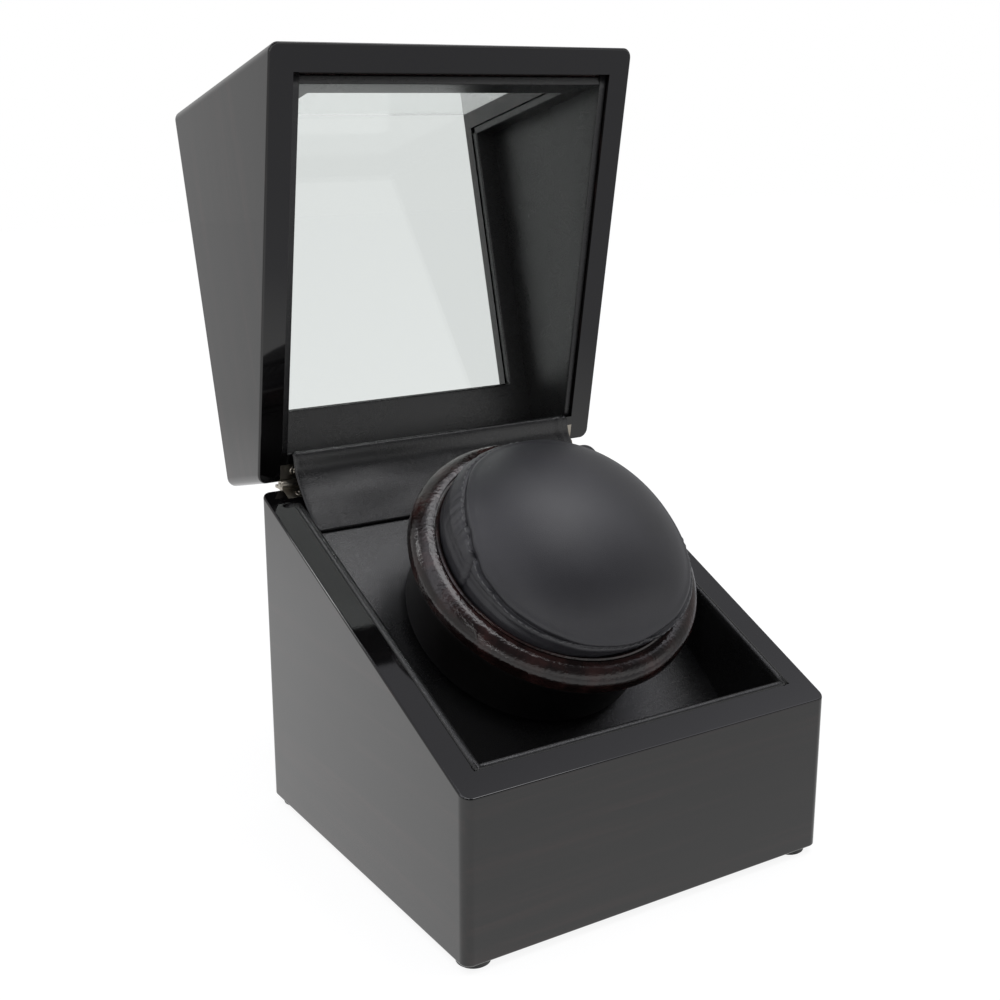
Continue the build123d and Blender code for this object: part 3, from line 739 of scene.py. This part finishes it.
@dataclass
class Case:
    """The box: lacquered boards, floor, feet and the covered board that carries the drum."""

    half_width: float = 85.0
    half_depth: float = 82.5
    board: float = 10.5
    rim_front: float = 68.5
    rim_back: float = 141.0
    top: float = 177.5
    lining: float = 3.5
    play: float = 0.1
    proud: float = 1.2
    sunk: float = 0.6
    turn_in: float = 1.0
    tuck: float = 3.0
    side_reach: float = 3.2
    drum_board_front: float = 29.456
    drum_board_rise: float = 0.73996

    @property
    def inner_width(self) -> float:
        """Half the width between the side boards."""
        return self.half_width - self.board

    @property
    def inner_depth(self) -> float:
        """Half the depth between the front and back boards."""
        return self.half_depth - self.board

    @property
    def lining_half(self) -> float:
        """Half the width of a lining that runs from side to side."""
        return self.inner_width - self.play

    @property
    def lining_back(self) -> float:
        """Depth at which the side linings end."""
        return self.inner_depth + self.lining / 2

    def side_wall(self, side: int, stand: Stand = Vector) -> Wall:
        """The inside of a side wall, -1 for left, 1 for right."""
        return Wall(X * (side * self.inner_width), Y, Z, X * -side, stand)

    def rim(self, y: float, above: float = 0.0) -> float:
        """Height of the sloped rim at depth y."""
        slope = (self.rim_back - self.rim_front) / (2 * self.half_depth)
        return self.rim_front + (y + self.half_depth) * slope + above * hypot(1.0, slope)

    def tucked(self, y: float) -> float:
        """Height at depth y at which a lining ends behind the inclined board."""
        rise = (y + self.inner_depth - self.lining) * self.drum_board_rise
        return self.drum_board_front + rise - self.tuck

    def paint(self) -> None:
        """Gives the case's boards, floor and feet their finishes."""
        paint(LACQUER_ACROSS, "base_front_board", "base_back_board")
        paint(LACQUER_DEEP, "base_left_board", "base_right_board")
        paint(FLOOR_PAINT, "base_floor")
        paint(LINING, "drum_board")
        feet = [f"foot_{row}_{side}" for row in ("front", "back") for side in ("left", "right")]
        paint(RUBBER, *feet)

    def line_side(self, node: str, side: int) -> None:
        """Builds the padded lining of one side wall, which drops below the rim at its back end.

        Args:
            node: The node that it stands for.
            side: -1 for left, 1 for right.
        """
        front, turn, back = -self.inner_depth, self.inner_depth - self.turn_in, self.lining_back
        corners = [(front, self.tucked(front)), (back, self.tucked(back)), (back, self.rim(back, -self.sunk))]
        corners += [(turn, self.rim(turn, self.proud)), (front, self.rim(front, self.proud))]
        panel = PaddedPanel(self.side_wall(side), corners, self.lining, reach=self.side_reach)
        panel.build(node, Body.BASE)

    def line_front(self) -> None:
        """Builds the padded lining of the front wall."""
        front, wide = -self.inner_depth, self.lining_half
        low, high = self.tucked(front), self.rim(front, self.proud)
        corners = [(-wide, low), (wide, low), (wide, high), (-wide, high)]
        PaddedPanel(Wall(Y * front, X, Z, Y), corners, self.lining).build("base_front_lining", Body.BASE)

    def build(self) -> None:
        """Dresses the case."""
        self.paint()
        self.line_side("base_left_lining", -1)
        self.line_side("base_right_lining", 1)
        self.line_front()


@dataclass
class Lid:
    """The lid: lacquered boards, two panes and padded linings, measured closed and stood open."""

    case: Case
    pivot: Vector
    open_by: float
    window_half: float = 61.0
    window_back: float = 52.5
    rail_top: float = 91.5
    gap: float = 0.6
    under: float = 1.6
    top_board: float = 8.0
    back_lining: float = 0.8
    leg_crown: float = 0.1
    leg_reach: float = 6.0
    nose: float = 0.7
    rim_faces: Colour = (0.0, -0.987, -0.160)

    @property
    def ceiling(self) -> float:
        """Height of the closed lid's ceiling."""
        return self.case.top - self.top_board

    def low(self, y: float) -> float:
        """Height at depth y at which the closed lid's linings start."""
        return self.case.rim(y, self.gap + self.under)

    def stood(self, point: Vector) -> Vector:
        """A point of the closed lid, moved to where it is with the lid open."""
        return Matrix.Rotation(-self.open_by, 3, "X") @ (point - self.pivot) + self.pivot

    def paint(self) -> None:
        """Gives the lid's boards and panes their finishes."""
        across = Lacquer("ebony_lid_across", Grain.ACROSS, self.open_by, self.rim_faces)
        deep = Lacquer("ebony_lid_deep", Grain.DEEP, self.open_by, self.rim_faces)
        paint(across, "lid_front_board", "lid_back_board", "lid_top_board")
        paint(deep, "lid_left_board", "lid_right_board")
        paint(Pane(), "lid_top_pane", "lid_front_pane")

    def line_side(self, node: str, side: int) -> None:
        """Builds one side's padded panel.

        Args:
            node: The node that it stands for.
            side: -1 for left, 1 for right.
        """
        case = self.case
        front, back, high = -case.inner_depth, case.lining_back, self.ceiling
        corners = [(front, self.low(front)), (back, self.low(back)), (back, high), (front, high)]
        wall = case.side_wall(side, self.stood)
        PaddedPanel(wall, corners, case.lining, nose=self.nose).build(node, Body.LID)

    def line_window(self, node: str, wall: Wall, near: float, sill: float, far: float) -> None:
        """Builds the U-shaped panel round one board's share of the window.

        Args:
            node: The node that it stands for.
            wall: The board's inside.
            near: Where the window leaves the board.
            sill: The window's end.
            far: The panel's end beyond it.
        """
        wide, edge = self.case.lining_half, self.window_half
        corners = [(-wide, near), (-edge, near), (-edge, sill), (edge, sill)]
        corners += [(edge, near), (wide, near), (wide, far), (-wide, far)]
        panel = PaddedPanel(wall, corners, self.case.lining, self.leg_crown, self.leg_reach, self.nose)
        panel.build(node, Body.LID)

    def line_back(self) -> None:
        """Builds the covering on the back board."""
        back, wide, high = self.case.inner_depth, self.case.lining_half, self.ceiling
        low = self.low(back)
        corners = [(-wide, low), (wide, low), (wide, high), (-wide, high)]
        wall = Wall(Y * back, X, Z, -Y, self.stood)
        panel = PaddedPanel(wall, corners, self.back_lining, 0.0, self.leg_reach)
        panel.build("lid_back_lining", Body.LID)

    def build(self) -> None:
        """Dresses the lid, whose front is measured downwards so that its window opens the same way."""
        case, ceiling = self.case, self.ceiling
        front = -case.inner_depth
        self.paint()
        self.line_side("lid_left_lining", -1)
        self.line_side("lid_right_lining", 1)
        under_top = Wall(Z * ceiling, X, Y, -Z, self.stood)
        self.line_window("lid_top_lining", under_top, front, self.window_back, case.lining_back)
        behind_front = Wall(Y * front, -X, -Z, Y, self.stood)
        low = self.low(front + case.lining)
        self.line_window("lid_front_lining", behind_front, -ceiling, -self.rail_top, -low)
        self.line_back()


def spline(points: Sequence[Pair], count: int, fine: int = 24) -> list[Pair]:
    """Points evenly along a smooth line.

    Args:
        points: The points that the line goes through.
        count: How many to give.
        fine: Steps between two given points that the lengths are measured by.

    Returns:
        The points.
    """
    dense = []
    ends = [points[0], *points, points[-1]]
    for a, b, c, d in zip(ends, ends[1:], ends[2:], ends[3:]):
        for k in range(fine):
            t = k / fine
            dense.append(tuple(
                0.5 * (2 * b[i] + (c[i] - a[i]) * t + (2 * a[i] - 5 * b[i] + 4 * c[i] - d[i]) * t * t
                       + (3 * b[i] - a[i] - 3 * c[i] + d[i]) * t ** 3) for i in (0, 1)))
    dense.append(points[-1])
    runs = runs_of(dense)
    made, k = [], 0
    for i in range(count):
        goal = runs[-1] * i / (count - 1)
        while k < len(runs) - 2 and runs[k + 1] < goal:
            k += 1
        share = (goal - runs[k]) / max(1e-9, runs[k + 1] - runs[k])
        made.append(tuple(between(dense[k][j], dense[k + 1][j], share) for j in (0, 1)))
    return made


@dataclass
class HingeStrip:
    """The soft strip that hangs from the lid's back lining to the inclined board, over the hinges."""

    half: float = 70.3
    thick: float = 1.0
    rows: int = 40
    columns: int = 120
    path: Sequence[Pair] = (
        (82.3, 155.6), (81.2, 155.9), (80.1, 153.6), (78.7, 148.4), (75.0, 143.0), (70.4, 137.5),
        (65.8, 131.9), (61.0, 126.1))
    wave: float = 0.7
    wave_across: float = 0.035
    wave_down: float = 1.6
    wave_seed: float = 3.1
    slack_rate: float = 1.15
    held_from: float = 0.87
    gathers: Sequence[Triple] = (
        (65.5, 1.1, 0.48), (68.1, 0.9, -0.42), (-68.4, 1.4, 0.3), (62.4, 1.6, -0.24))
    gather_reach: float = 0.35
    edge: float = 1.0
    edge_round: float = 0.35

    def _lift(self, x: float, share: float) -> float:
        """How far the strip stands off its line there, in millimetres.

        Args:
            x: Place across.
            share: Place down, from 0 at the top to 1.

        Returns:
            The distance.
        """
        soft = noise.noise(Vector((x * self.wave_across, share * self.wave_down, self.wave_seed))) * self.wave
        free = sin(pi * min(1.0, share * self.slack_rate)) if share < self.held_from else 0.0
        gathered = sum(deep * bell(x - place, wide) for place, wide, deep in self.gathers)
        return soft * free + gathered * bell(share, self.gather_reach)

    @staticmethod
    def _border(rows: Sequence[Sequence[int]]) -> list[int]:
        """Point numbers round the border of a sheet that is given in rows."""
        down = [row[-1] for row in rows[1:]]
        return [*rows[0], *down, *reversed(rows[-1][:-1]), *[row[0] for row in reversed(rows[1:-1])]]

    def build(self) -> None:
        """Builds the strip as a sheet with a rolled top edge."""
        line = spline(self.path, self.rows)
        shell = Shell()
        upper, lower = [], []
        for i, (y, z) in enumerate(line):
            a, b = line[max(0, i - 1)], line[min(self.rows - 1, i + 1)]
            long = dist(a, b)
            normal = Vector((0.0, b[1] - a[1], a[0] - b[0])) / long
            front, rear = [], []
            for k in range(self.columns + 1):
                x = between(-self.half, self.half, k / self.columns)
                off = self._lift(x, i / (self.rows - 1))
                thin = self.edge_round * (1.0 - min(1.0, (self.half - abs(x)) / self.edge))
                half_thick = self.thick / 2 - thin
                front.append((Vector((x, y, z)) + normal * (off + half_thick)) * MM)
                rear.append((Vector((x, y, z)) + normal * (off - half_thick)) * MM)
            upper.append(shell.loop(front))
            lower.append(shell.loop(rear))
        shell.skin(upper, closed=False)
        shell.skin([list(reversed(row)) for row in lower], closed=False)
        shell.skin([self._border(lower), self._border(upper)])
        made = shell.piece("hinge_strip", STRIP)
        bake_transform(made)
        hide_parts("hinge_flap")


@dataclass
class Drum:
    """The turning drum: ring, cup, liner, pad, shaft and screws."""

    def build(self) -> None:
        """Gives the drum's nodes their finishes."""
        paint(GlossBand(), "drum_ring")
        paint(DRUM_SHELL, "drum_cup")
        paint(FELT, "cup_liner")
        paint(FOAM, "cup_pad")
        paint(STEEL, "drum_shaft")
        paint(GEAR_PLASTIC, "drum_gear")


@dataclass
class Cushion:
    """The stuffed cushion: a domed face sewn to a side band that tucks into the cup."""

    centre: Vector
    axis: Vector
    dome: float = 52.5
    dome_up: float = 30.0
    long: float = 1.04
    shift: float = 2.8
    squareness: float = 2.15
    around: int = 288
    band_rows: int = 46
    dome_rows: int = 44
    groove: float = 0.95
    groove_wide: float = 0.85
    roll: float = 0.45
    roll_at: float = 1.9
    roll_wide: float = 1.5
    lip: float = 0.12
    lip_at: float = 2.4
    lip_wide: float = 1.6
    bulge: float = 0.5
    bulge_scale: float = 0.03
    bulge_seed: float = 5.0
    bulge_from: float = 12.0
    band_ripple: float = 0.35
    ripple_scale: float = 7.0
    ripple_drift: float = 0.08
    ripple_reach: float = 9.0
    straight_to: float = 1.5
    dome_from: float = 0.31
    dome_end: float = 89.2
    band_crowd: float = 1.7
    dome_crowd: float = 1.25
    stitch_pitch: float = 3.4
    stitch_long: float = 2.3
    stitch_under: float = 1.35
    stitch_lift: float = 0.16
    thread: float = 0.26
    thread_sides: int = 6
    thread_girth: Sequence[Pair] = ((0.0, 0.25), (0.12, 0.8), (0.5, 1.0), (0.88, 0.8), (1.0, 0.25))
    band: Sequence[Four] = (
        (-22.0, 43.5, 45.0, 0.8), (-19.5, 45.4, 46.6, 0.8), (-8.0, 47.2, 47.8, 0.4), (1.5, 49.5, 49.7, 0.2),
        (4.4, 49.8, 50.7, 1.1), (7.4, 49.8, 51.6, 2.2), (9.4, 49.6, 51.6, 2.65))
    seam: Sequence[Pair] = (
        (-180.0, 13.4), (-167.0, 11.6), (-145.0, 10.4), (-130.0, 10.0), (-113.0, 9.2), (-92.0, 9.0),
        (-69.0, 10.6), (-50.0, 11.4), (0.0, 12.0), (60.0, 12.4), (120.0, 13.8), (147.0, 15.0),
        (168.0, 14.8), (180.0, 13.4))
    folds: Sequence[Four] = (
        (146.0, 1.1, 0.55, 7.0), (152.5, 1.0, 0.7, 8.0), (158.0, 0.9, 0.5, 6.0), (164.0, 1.2, 0.9, 10.0),
        (171.0, 1.0, 0.5, 5.0), (-179.0, 1.3, 2.0, 14.0), (-160.0, 1.3, 0.4, 7.0), (-84.0, 1.0, 0.5, 5.0),
        (-62.0, 1.2, 0.5, 6.0), (35.0, 1.2, 0.6, 7.0), (84.0, 1.3, 0.6, 7.0), (112.0, 1.1, 0.6, 8.0))
    fold_lean: float = 0.55

    def at(self, u: float, v: float, w: float) -> Vector:
        """A point in the drum's own axes, moved to the frame."""
        up = Vector((0.0, self.axis.z, -self.axis.y))
        return self.centre + (X * u + up * v + self.axis * w) * MM

    @staticmethod
    def outward(degrees: float) -> Vector:
        """The way out of the cushion at one place round it."""
        return Vector((cos(radians(degrees)), sin(radians(degrees)), 0.0))

    def outline(self, height: float) -> Triple:
        """Half sizes and shift of the cushion's outline at a height.

        Args:
            height: Height over the ring's front plane.

        Returns:
            Half width, half length and shift.
        """
        if height >= self.dome_from * self.dome_up:
            share = sqrt(max(0.0, 1.0 - (height / self.dome_up) ** 2))
            return self.dome * share, self.dome * self.long * share, self.shift * share
        return read_off(self.band, height, self.straight_to)

    def skin_point(self, degrees: float, height: float) -> Vector:
        """Gives a point of the smooth cover.

        Args:
            degrees: Place round the cushion.
            height: Height over the ring's front plane.

        Returns:
            The point in the drum's own axes, in millimetres.
        """
        wide, long, shift = self.outline(height)
        c, s = cos(radians(degrees)), sin(radians(degrees))
        reach = (abs(c) ** self.squareness + abs(s) ** self.squareness) ** (-1 / self.squareness)
        return Vector((shift + wide * reach * c, long * reach * s, height))

    def heights(self, degrees: float) -> list[float]:
        """Heights of the cover's rows, of which number band_rows is the seam.

        Args:
            degrees: Place round the cushion.

        Returns:
            The heights from the bottom up.
        """
        seam = read_off(self.seam, degrees)[0]
        low, end = asin(seam / self.dome_up), radians(self.dome_end)
        falls = [(1 - i / self.band_rows) ** self.band_crowd for i in range(self.band_rows)]
        rises = [(i / (self.dome_rows - 1)) ** self.dome_crowd for i in range(self.dome_rows)]
        band = [between(self.band[0][0], seam, 1 - fall) for fall in falls]
        return band + [self.dome_up * sin(between(low, end, rise)) for rise in rises]

    def creases(self, degrees: float, below: float) -> float:
        """How far folds push the band in there.

        Args:
            degrees: Place round the cushion.
            below: Distance under the seam in millimetres.

        Returns:
            Millimetres inwards.
        """
        deep = 0.0
        for place, wide, depth, reach in self.folds:
            off = (degrees - place - below * self.fold_lean + 180.0) % 360.0 - 180.0
            deep += depth * bell(off, wide) * bell(below, reach)
        ripple = noise.noise(self.outward(degrees) * self.ripple_scale + Z * (below * self.ripple_drift))
        return deep + ripple * self.band_ripple * bell(below, self.ripple_reach)

    def column(self, degrees: float) -> list[Vector]:
        """Points of the cover from its bottom to its top at one place round it.

        Args:
            degrees: Place round the cushion.

        Returns:
            The points in the drum's own axes, in millimetres.
        """
        plain = [self.skin_point(degrees, height) for height in self.heights(degrees)]
        runs = runs_of(plain)
        out = self.outward(degrees)
        made = []
        for i, point in enumerate(plain):
            a, b = plain[max(0, i - 1)], plain[min(len(plain) - 1, i + 1)]
            along = (b - a).normalized()
            normal = (out * along.z - Z * along.dot(out)).normalized()
            far = runs[i] - runs[self.band_rows]
            push = -self.groove * bell(far, self.groove_wide)
            if far >= 0:
                push += self.roll * bell(far - self.roll_at, self.roll_wide)
                slow = noise.noise(Vector((point.x, point.y, self.bulge_seed)) * self.bulge_scale)
                push += slow * self.bulge * min(1.0, far / self.bulge_from)
            else:
                push -= self.creases(degrees, -far)
                push += self.lip * bell(far + self.lip_at, self.lip_wide)
            made.append(point + normal * push)
        return made

    def build_cover(self) -> list[list[Vector]]:
        """Builds the cover.

        Returns:
            Its columns of points, for the stitches to follow.
        """
        angles = [between(-180.0, 180.0, i / self.around) for i in range(self.around)]
        columns = [self.column(a) for a in angles]
        shell = Shell()
        loops = [shell.loop(self.at(*column[i]) for column in columns) for i in range(len(columns[0]))]
        shell.fill(loops)
        made = shell.piece("cushion_cover", COVER_TONE_AND_SHEEN, Body.CUSHION)
        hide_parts("cushion_face", "cushion_band", "cushion_core")
        return columns

    def build_stitches(self, columns: Sequence[Sequence[Vector]]) -> None:
        """Builds the thread along the seam, as short raised stitches on the band.

        Args:
            columns: The cover's columns of points.
        """
        track = []
        for column in columns:
            run, row = 0.0, self.band_rows
            while run < self.stitch_under:
                run += (column[row] - column[row - 1]).length
                row -= 1
            track.append(column[row])
        closed = [*track, track[0]]
        runs = runs_of(closed)
        count = int(runs[-1] / self.stitch_pitch)
        shell = Shell()
        for number in range(count):
            start = runs[-1] * number / count
            rings = []
            for part, girth in self.thread_girth:
                goal = start + self.stitch_long * part
                k = max(i for i in range(len(track)) if runs[i] <= goal % runs[-1])
                share = (goal % runs[-1] - runs[k]) / (runs[k + 1] - runs[k])
                point = closed[k].lerp(closed[k + 1], share)
                ahead = (closed[k + 1] - closed[k]).normalized()
                outward = Vector((point.x, point.y, 0.0)).normalized()
                upward = ahead.cross(outward).normalized()
                point = point + outward * (self.stitch_lift * sin(pi * part))
                thick = self.thread * girth
                ring = []
                for i in range(self.thread_sides):
                    turn = tau * i / self.thread_sides
                    girdle = (outward * cos(turn) + upward * sin(turn)) * thick
                    ring.append(self.at(*(point + girdle)))
                rings.append(shell.loop(ring))
            shell.fill(rings)
        shell.piece("cushion_stitches", THREAD, Body.CUSHION)

    def build(self) -> None:
        """Builds the cushion's cover and stitches and paints its disc."""
        self.build_stitches(self.build_cover())
        paint(CARD, "cushion_disc")


@dataclass
class Fittings:
    """Hinges, screws, socket, selector and its knob."""

    case: Case
    lid: Lid
    hinge_at: float = 60.0
    screw_apart: float = 9.0
    screw_in: float = 3.8
    floor_at: Pair = (78.0, 40.0)
    floor_under: float = 3.0
    head: float = 1.7
    head_rings: Sequence[Triple] = (
        (1.0, -0.15, 0.0), (1.0, 0.05, 0.0), (0.86, 0.16, 0.0), (0.6, 0.2, 1.0), (0.55, 0.02, 1.0))
    cross_arms: int = 2
    cross_core: float = 0.3
    cross_sharp: int = 6
    around: int = 32

    def _head(self, shell: Shell, centre: Vector, up: Vector, stand: Stand) -> None:
        """Adds one cross-recessed screw head.

        Args:
            shell: The mesh in the making.
            centre: Where it sits, in millimetres.
            up: Out of the surface.
            stand: What moves its points into the frame.
        """
        side = up.cross(X)
        rings = []
        for reach, height, cross in self.head_rings:
            ring = []
            for i in range(self.around):
                turn = tau * i / self.around
                arm = between(self.cross_core, 1.0, abs(cos(self.cross_arms * turn)) ** self.cross_sharp)
                far = self.head * reach * between(1.0, arm, cross)
                flat = (X * cos(turn) + side * sin(turn)) * far
                ring.append(stand((centre + flat + up * height) * MM))
            rings.append(shell.loop(ring))
        shell.fill(rings)

    def _hinge_screws(self, name: str, body: Body, up: Vector, above: float, stand: Stand) -> None:
        """Builds the heads in both hinges' leaves on one side.

        Args:
            name: The piece's name.
            body: The body that it rides on.
            up: Out of the leaves.
            above: Height over the base's rim.
            stand: What moves its points into the frame.
        """
        shell = Shell()
        y = self.case.half_depth - self.screw_in
        for hinge in (-self.hinge_at, self.hinge_at):
            for x in (hinge - self.screw_apart, hinge + self.screw_apart):
                self._head(shell, Vector((x, y, self.case.rim(y, above))), up, stand)
        shell.piece(name, NICKEL, body)

    def _floor_screws(self) -> None:
        """Builds the heads under the floor."""
        shell = Shell()
        across, deep = self.floor_at
        for x in (-across, across):
            for y in (-deep, deep):
                self._head(shell, Vector((x, y, self.floor_under)), -Z, Vector)
        shell.piece("floor_screws", STEEL, Body.BASE)

    def build(self) -> None:
        """Gives the fittings their finishes and adds the screws."""
        case, lid = self.case, self.lid
        out = Vector((0.0, case.rim_front - case.rim_back, 2 * case.half_depth)).normalized()
        self._hinge_screws("hinge_base_screws", Body.BASE, out, 0.0, Vector)
        self._hinge_screws("hinge_lid_screws", Body.LID, -out, lid.gap, lid.stood)
        self._floor_screws()
        for side in ("left", "right"):
            paint(NICKEL, f"hinge_base_leaf_{side}", f"hinge_lid_leaf_{side}", f"hinge_pin_{side}")
        paint(STEEL, "knob_spindle")
        paint(BLACK_PLASTIC, "power_socket", "selector_body", "mode_knob")


@dataclass
class Drive:
    """Gears, motor and circuit board behind the inclined board."""

    def build(self) -> None:
        """Gives the drive's nodes their finishes."""
        paint(GEAR_PLASTIC, "idler_gear", "motor_pinion", "board_posts")
        paint(STEEL, "idler_pin", "motor_can", "motor_rotor")
        paint(BRASS, "drum_bush")
        paint(BLACK_PLASTIC, "gearbox_pan")
        paint(Circuit(), "control_board")


@dataclass(frozen=True)
class Lamp:
    """A soft lamp: its place from what it points at, its width and height in metres, and its watts."""

    name: str
    place: Triple
    size: Pair
    watts: float

    def hang(self, aim: Vector) -> None:
        """Hangs the lamp.

        Args:
            aim: What it points at.
        """
        data = bpy.data.lights.new(self.name, "AREA")
        data.shape = "RECTANGLE"
        data.size, data.size_y = self.size
        data.energy = self.watts
        made = bpy.data.objects.new(self.name, data)
        made.location = aim + Vector(self.place)
        made.rotation_euler = (-Vector(self.place)).to_track_quat("-Z", "Y").to_euler()
        bpy.context.scene.collection.objects.link(made)


@dataclass
class Studio:
    """Pale floor, white surround, soft lamps and the camera."""

    eye: Triple = (-0.3212, -0.4769, 0.3024)
    yaw: float = 32.45
    down: float = 15.39
    focal_pixels: float = 1475.4
    picture: float = 1000.0
    film: float = 36.0
    near_clip: float = 0.01
    floor_half: float = 3.0
    middle: float = 0.13
    low_left: Colour = grey(0.80)
    low_right: Colour = grey(0.46)
    low_front: Colour = grey(1.30)
    high_ahead: Colour = grey(0.14, 0.01)
    high_front: Colour = grey(1.80, 0.14)
    high_back: Colour = grey(0.62, 0.04)
    sky_light: Stops = (
        (0.0, grey(0.05)), (0.45, grey(0.08, 0.01)), (0.7, grey(0.32, 0.02)),
        (0.9, (0.90, 0.91, 0.95)), (1.0, (0.90, 0.91, 0.95)))
    lamps: Sequence[Lamp] = (
        Lamp("overhead", (0.36, -0.16, 1.05), (0.46, 0.46), 2.1),
        Lamp("front_left", (-1.1, -1.1, 0.9), (0.02, 1.7), 2.2),
        Lamp("back_left", (-0.7, 0.48, 0.9), (0.1, 0.5), 1.4),
    )

    def camera(self) -> None:
        """Sets the camera at the photograph's viewing angle."""
        data = bpy.data.cameras.new("camera")
        data.sensor_width = self.film
        data.lens = self.focal_pixels / self.picture * self.film
        data.clip_start = self.near_clip
        made = bpy.data.objects.new("camera", data)
        made.location = self.eye
        made.rotation_euler = (radians(90.0 - self.down), 0.0, radians(-self.yaw))
        bpy.context.scene.collection.objects.link(made)
        bpy.context.scene.camera = made

    def floor(self) -> None:
        """Lays the floor, which is white and keeps the object's shadow."""
        shell = Shell()
        corners = [(-X - Y), (X - Y), (X + Y), (-X + Y)]
        shell.faces.append(tuple(shell.loop(corner * self.floor_half for corner in corners)))
        shell.piece("floor", Ground())

    def surround(self) -> None:
        """Sets the world: white to the eye, light and dark fields in reflections, and soft fill."""
        world = bpy.data.worlds.new("studio")
        bpy.context.scene.world = world
        world.use_nodes = True
        bench = Bench(world.node_tree)
        where = bench.coords("Generated")
        east, north, height = (bench.node("ShaderNodeSeparateXYZ", {0: where}, i) for i in range(3))
        low = bench.blend(east.spread(-0.15, 0.35), self.low_left, self.low_right)
        ahead = bench.blend(height.spread(0.2, 0.5), self.low_front, self.high_ahead)
        around = bench.blend(north.spread(-0.6, -0.35), ahead, low)
        front = bench.blend(north.spread(-0.40, -0.12), self.high_ahead, self.high_front)
        high = bench.blend(north.spread(-0.02, 0.22), front, self.high_back)
        gloss = bench.blend(height.spread(0.42, 0.80), around, high)
        light = bench.node("ShaderNodeValToRGB", {0: height}, stops=self.sky_light)
        white, mirrored, fill = (
            bench.node("ShaderNodeBackground", {0: shade, 1: 1.0}) for shade in (grey(1.0), gloss, light))
        lit = bench.mix(bench.ray("Glossy"), fill, mirrored)
        seen = bench.ray("Camera") + bench.ray("Transmission")
        bench.deliver(bench.mix(seen.spread(0.0, 1.0), lit, white), "ShaderNodeOutputWorld")

    def build(self) -> None:
        """Builds the whole studio."""
        self.camera()
        self.floor()
        self.surround()
        for lamp in self.lamps:
            lamp.hang(Z * self.middle)
        bpy.context.scene.view_settings.view_transform = "Standard"


def joint(name: str) -> dict:
    """The frame's joint of that name."""
    return next(j for j in frame["joints"] if j["name"] == name)


def main() -> None:
    """Builds and dresses the winder, one sub-assembly after another."""
    logging.basicConfig(level=logging.INFO, format="%(message)s")
    lid_hinge, drum_turn = joint("lid_hinge"), joint("drum_turn")
    case = Case()
    lid = Lid(case, Vector(lid_hinge["pos_m"]), radians(lid_hinge["range_deg"][1]))
    cushion = Cushion(Vector(drum_turn["pos_m"]), Vector(drum_turn["axis"]).normalized())
    for assembly in (Studio(), case, lid, HingeStrip(), Drum(), cushion, Fittings(case, lid), Drive()):
        LOG.info("building %s", type(assembly).__name__)
        assembly.build()


if __name__ == "__main__":
    main()
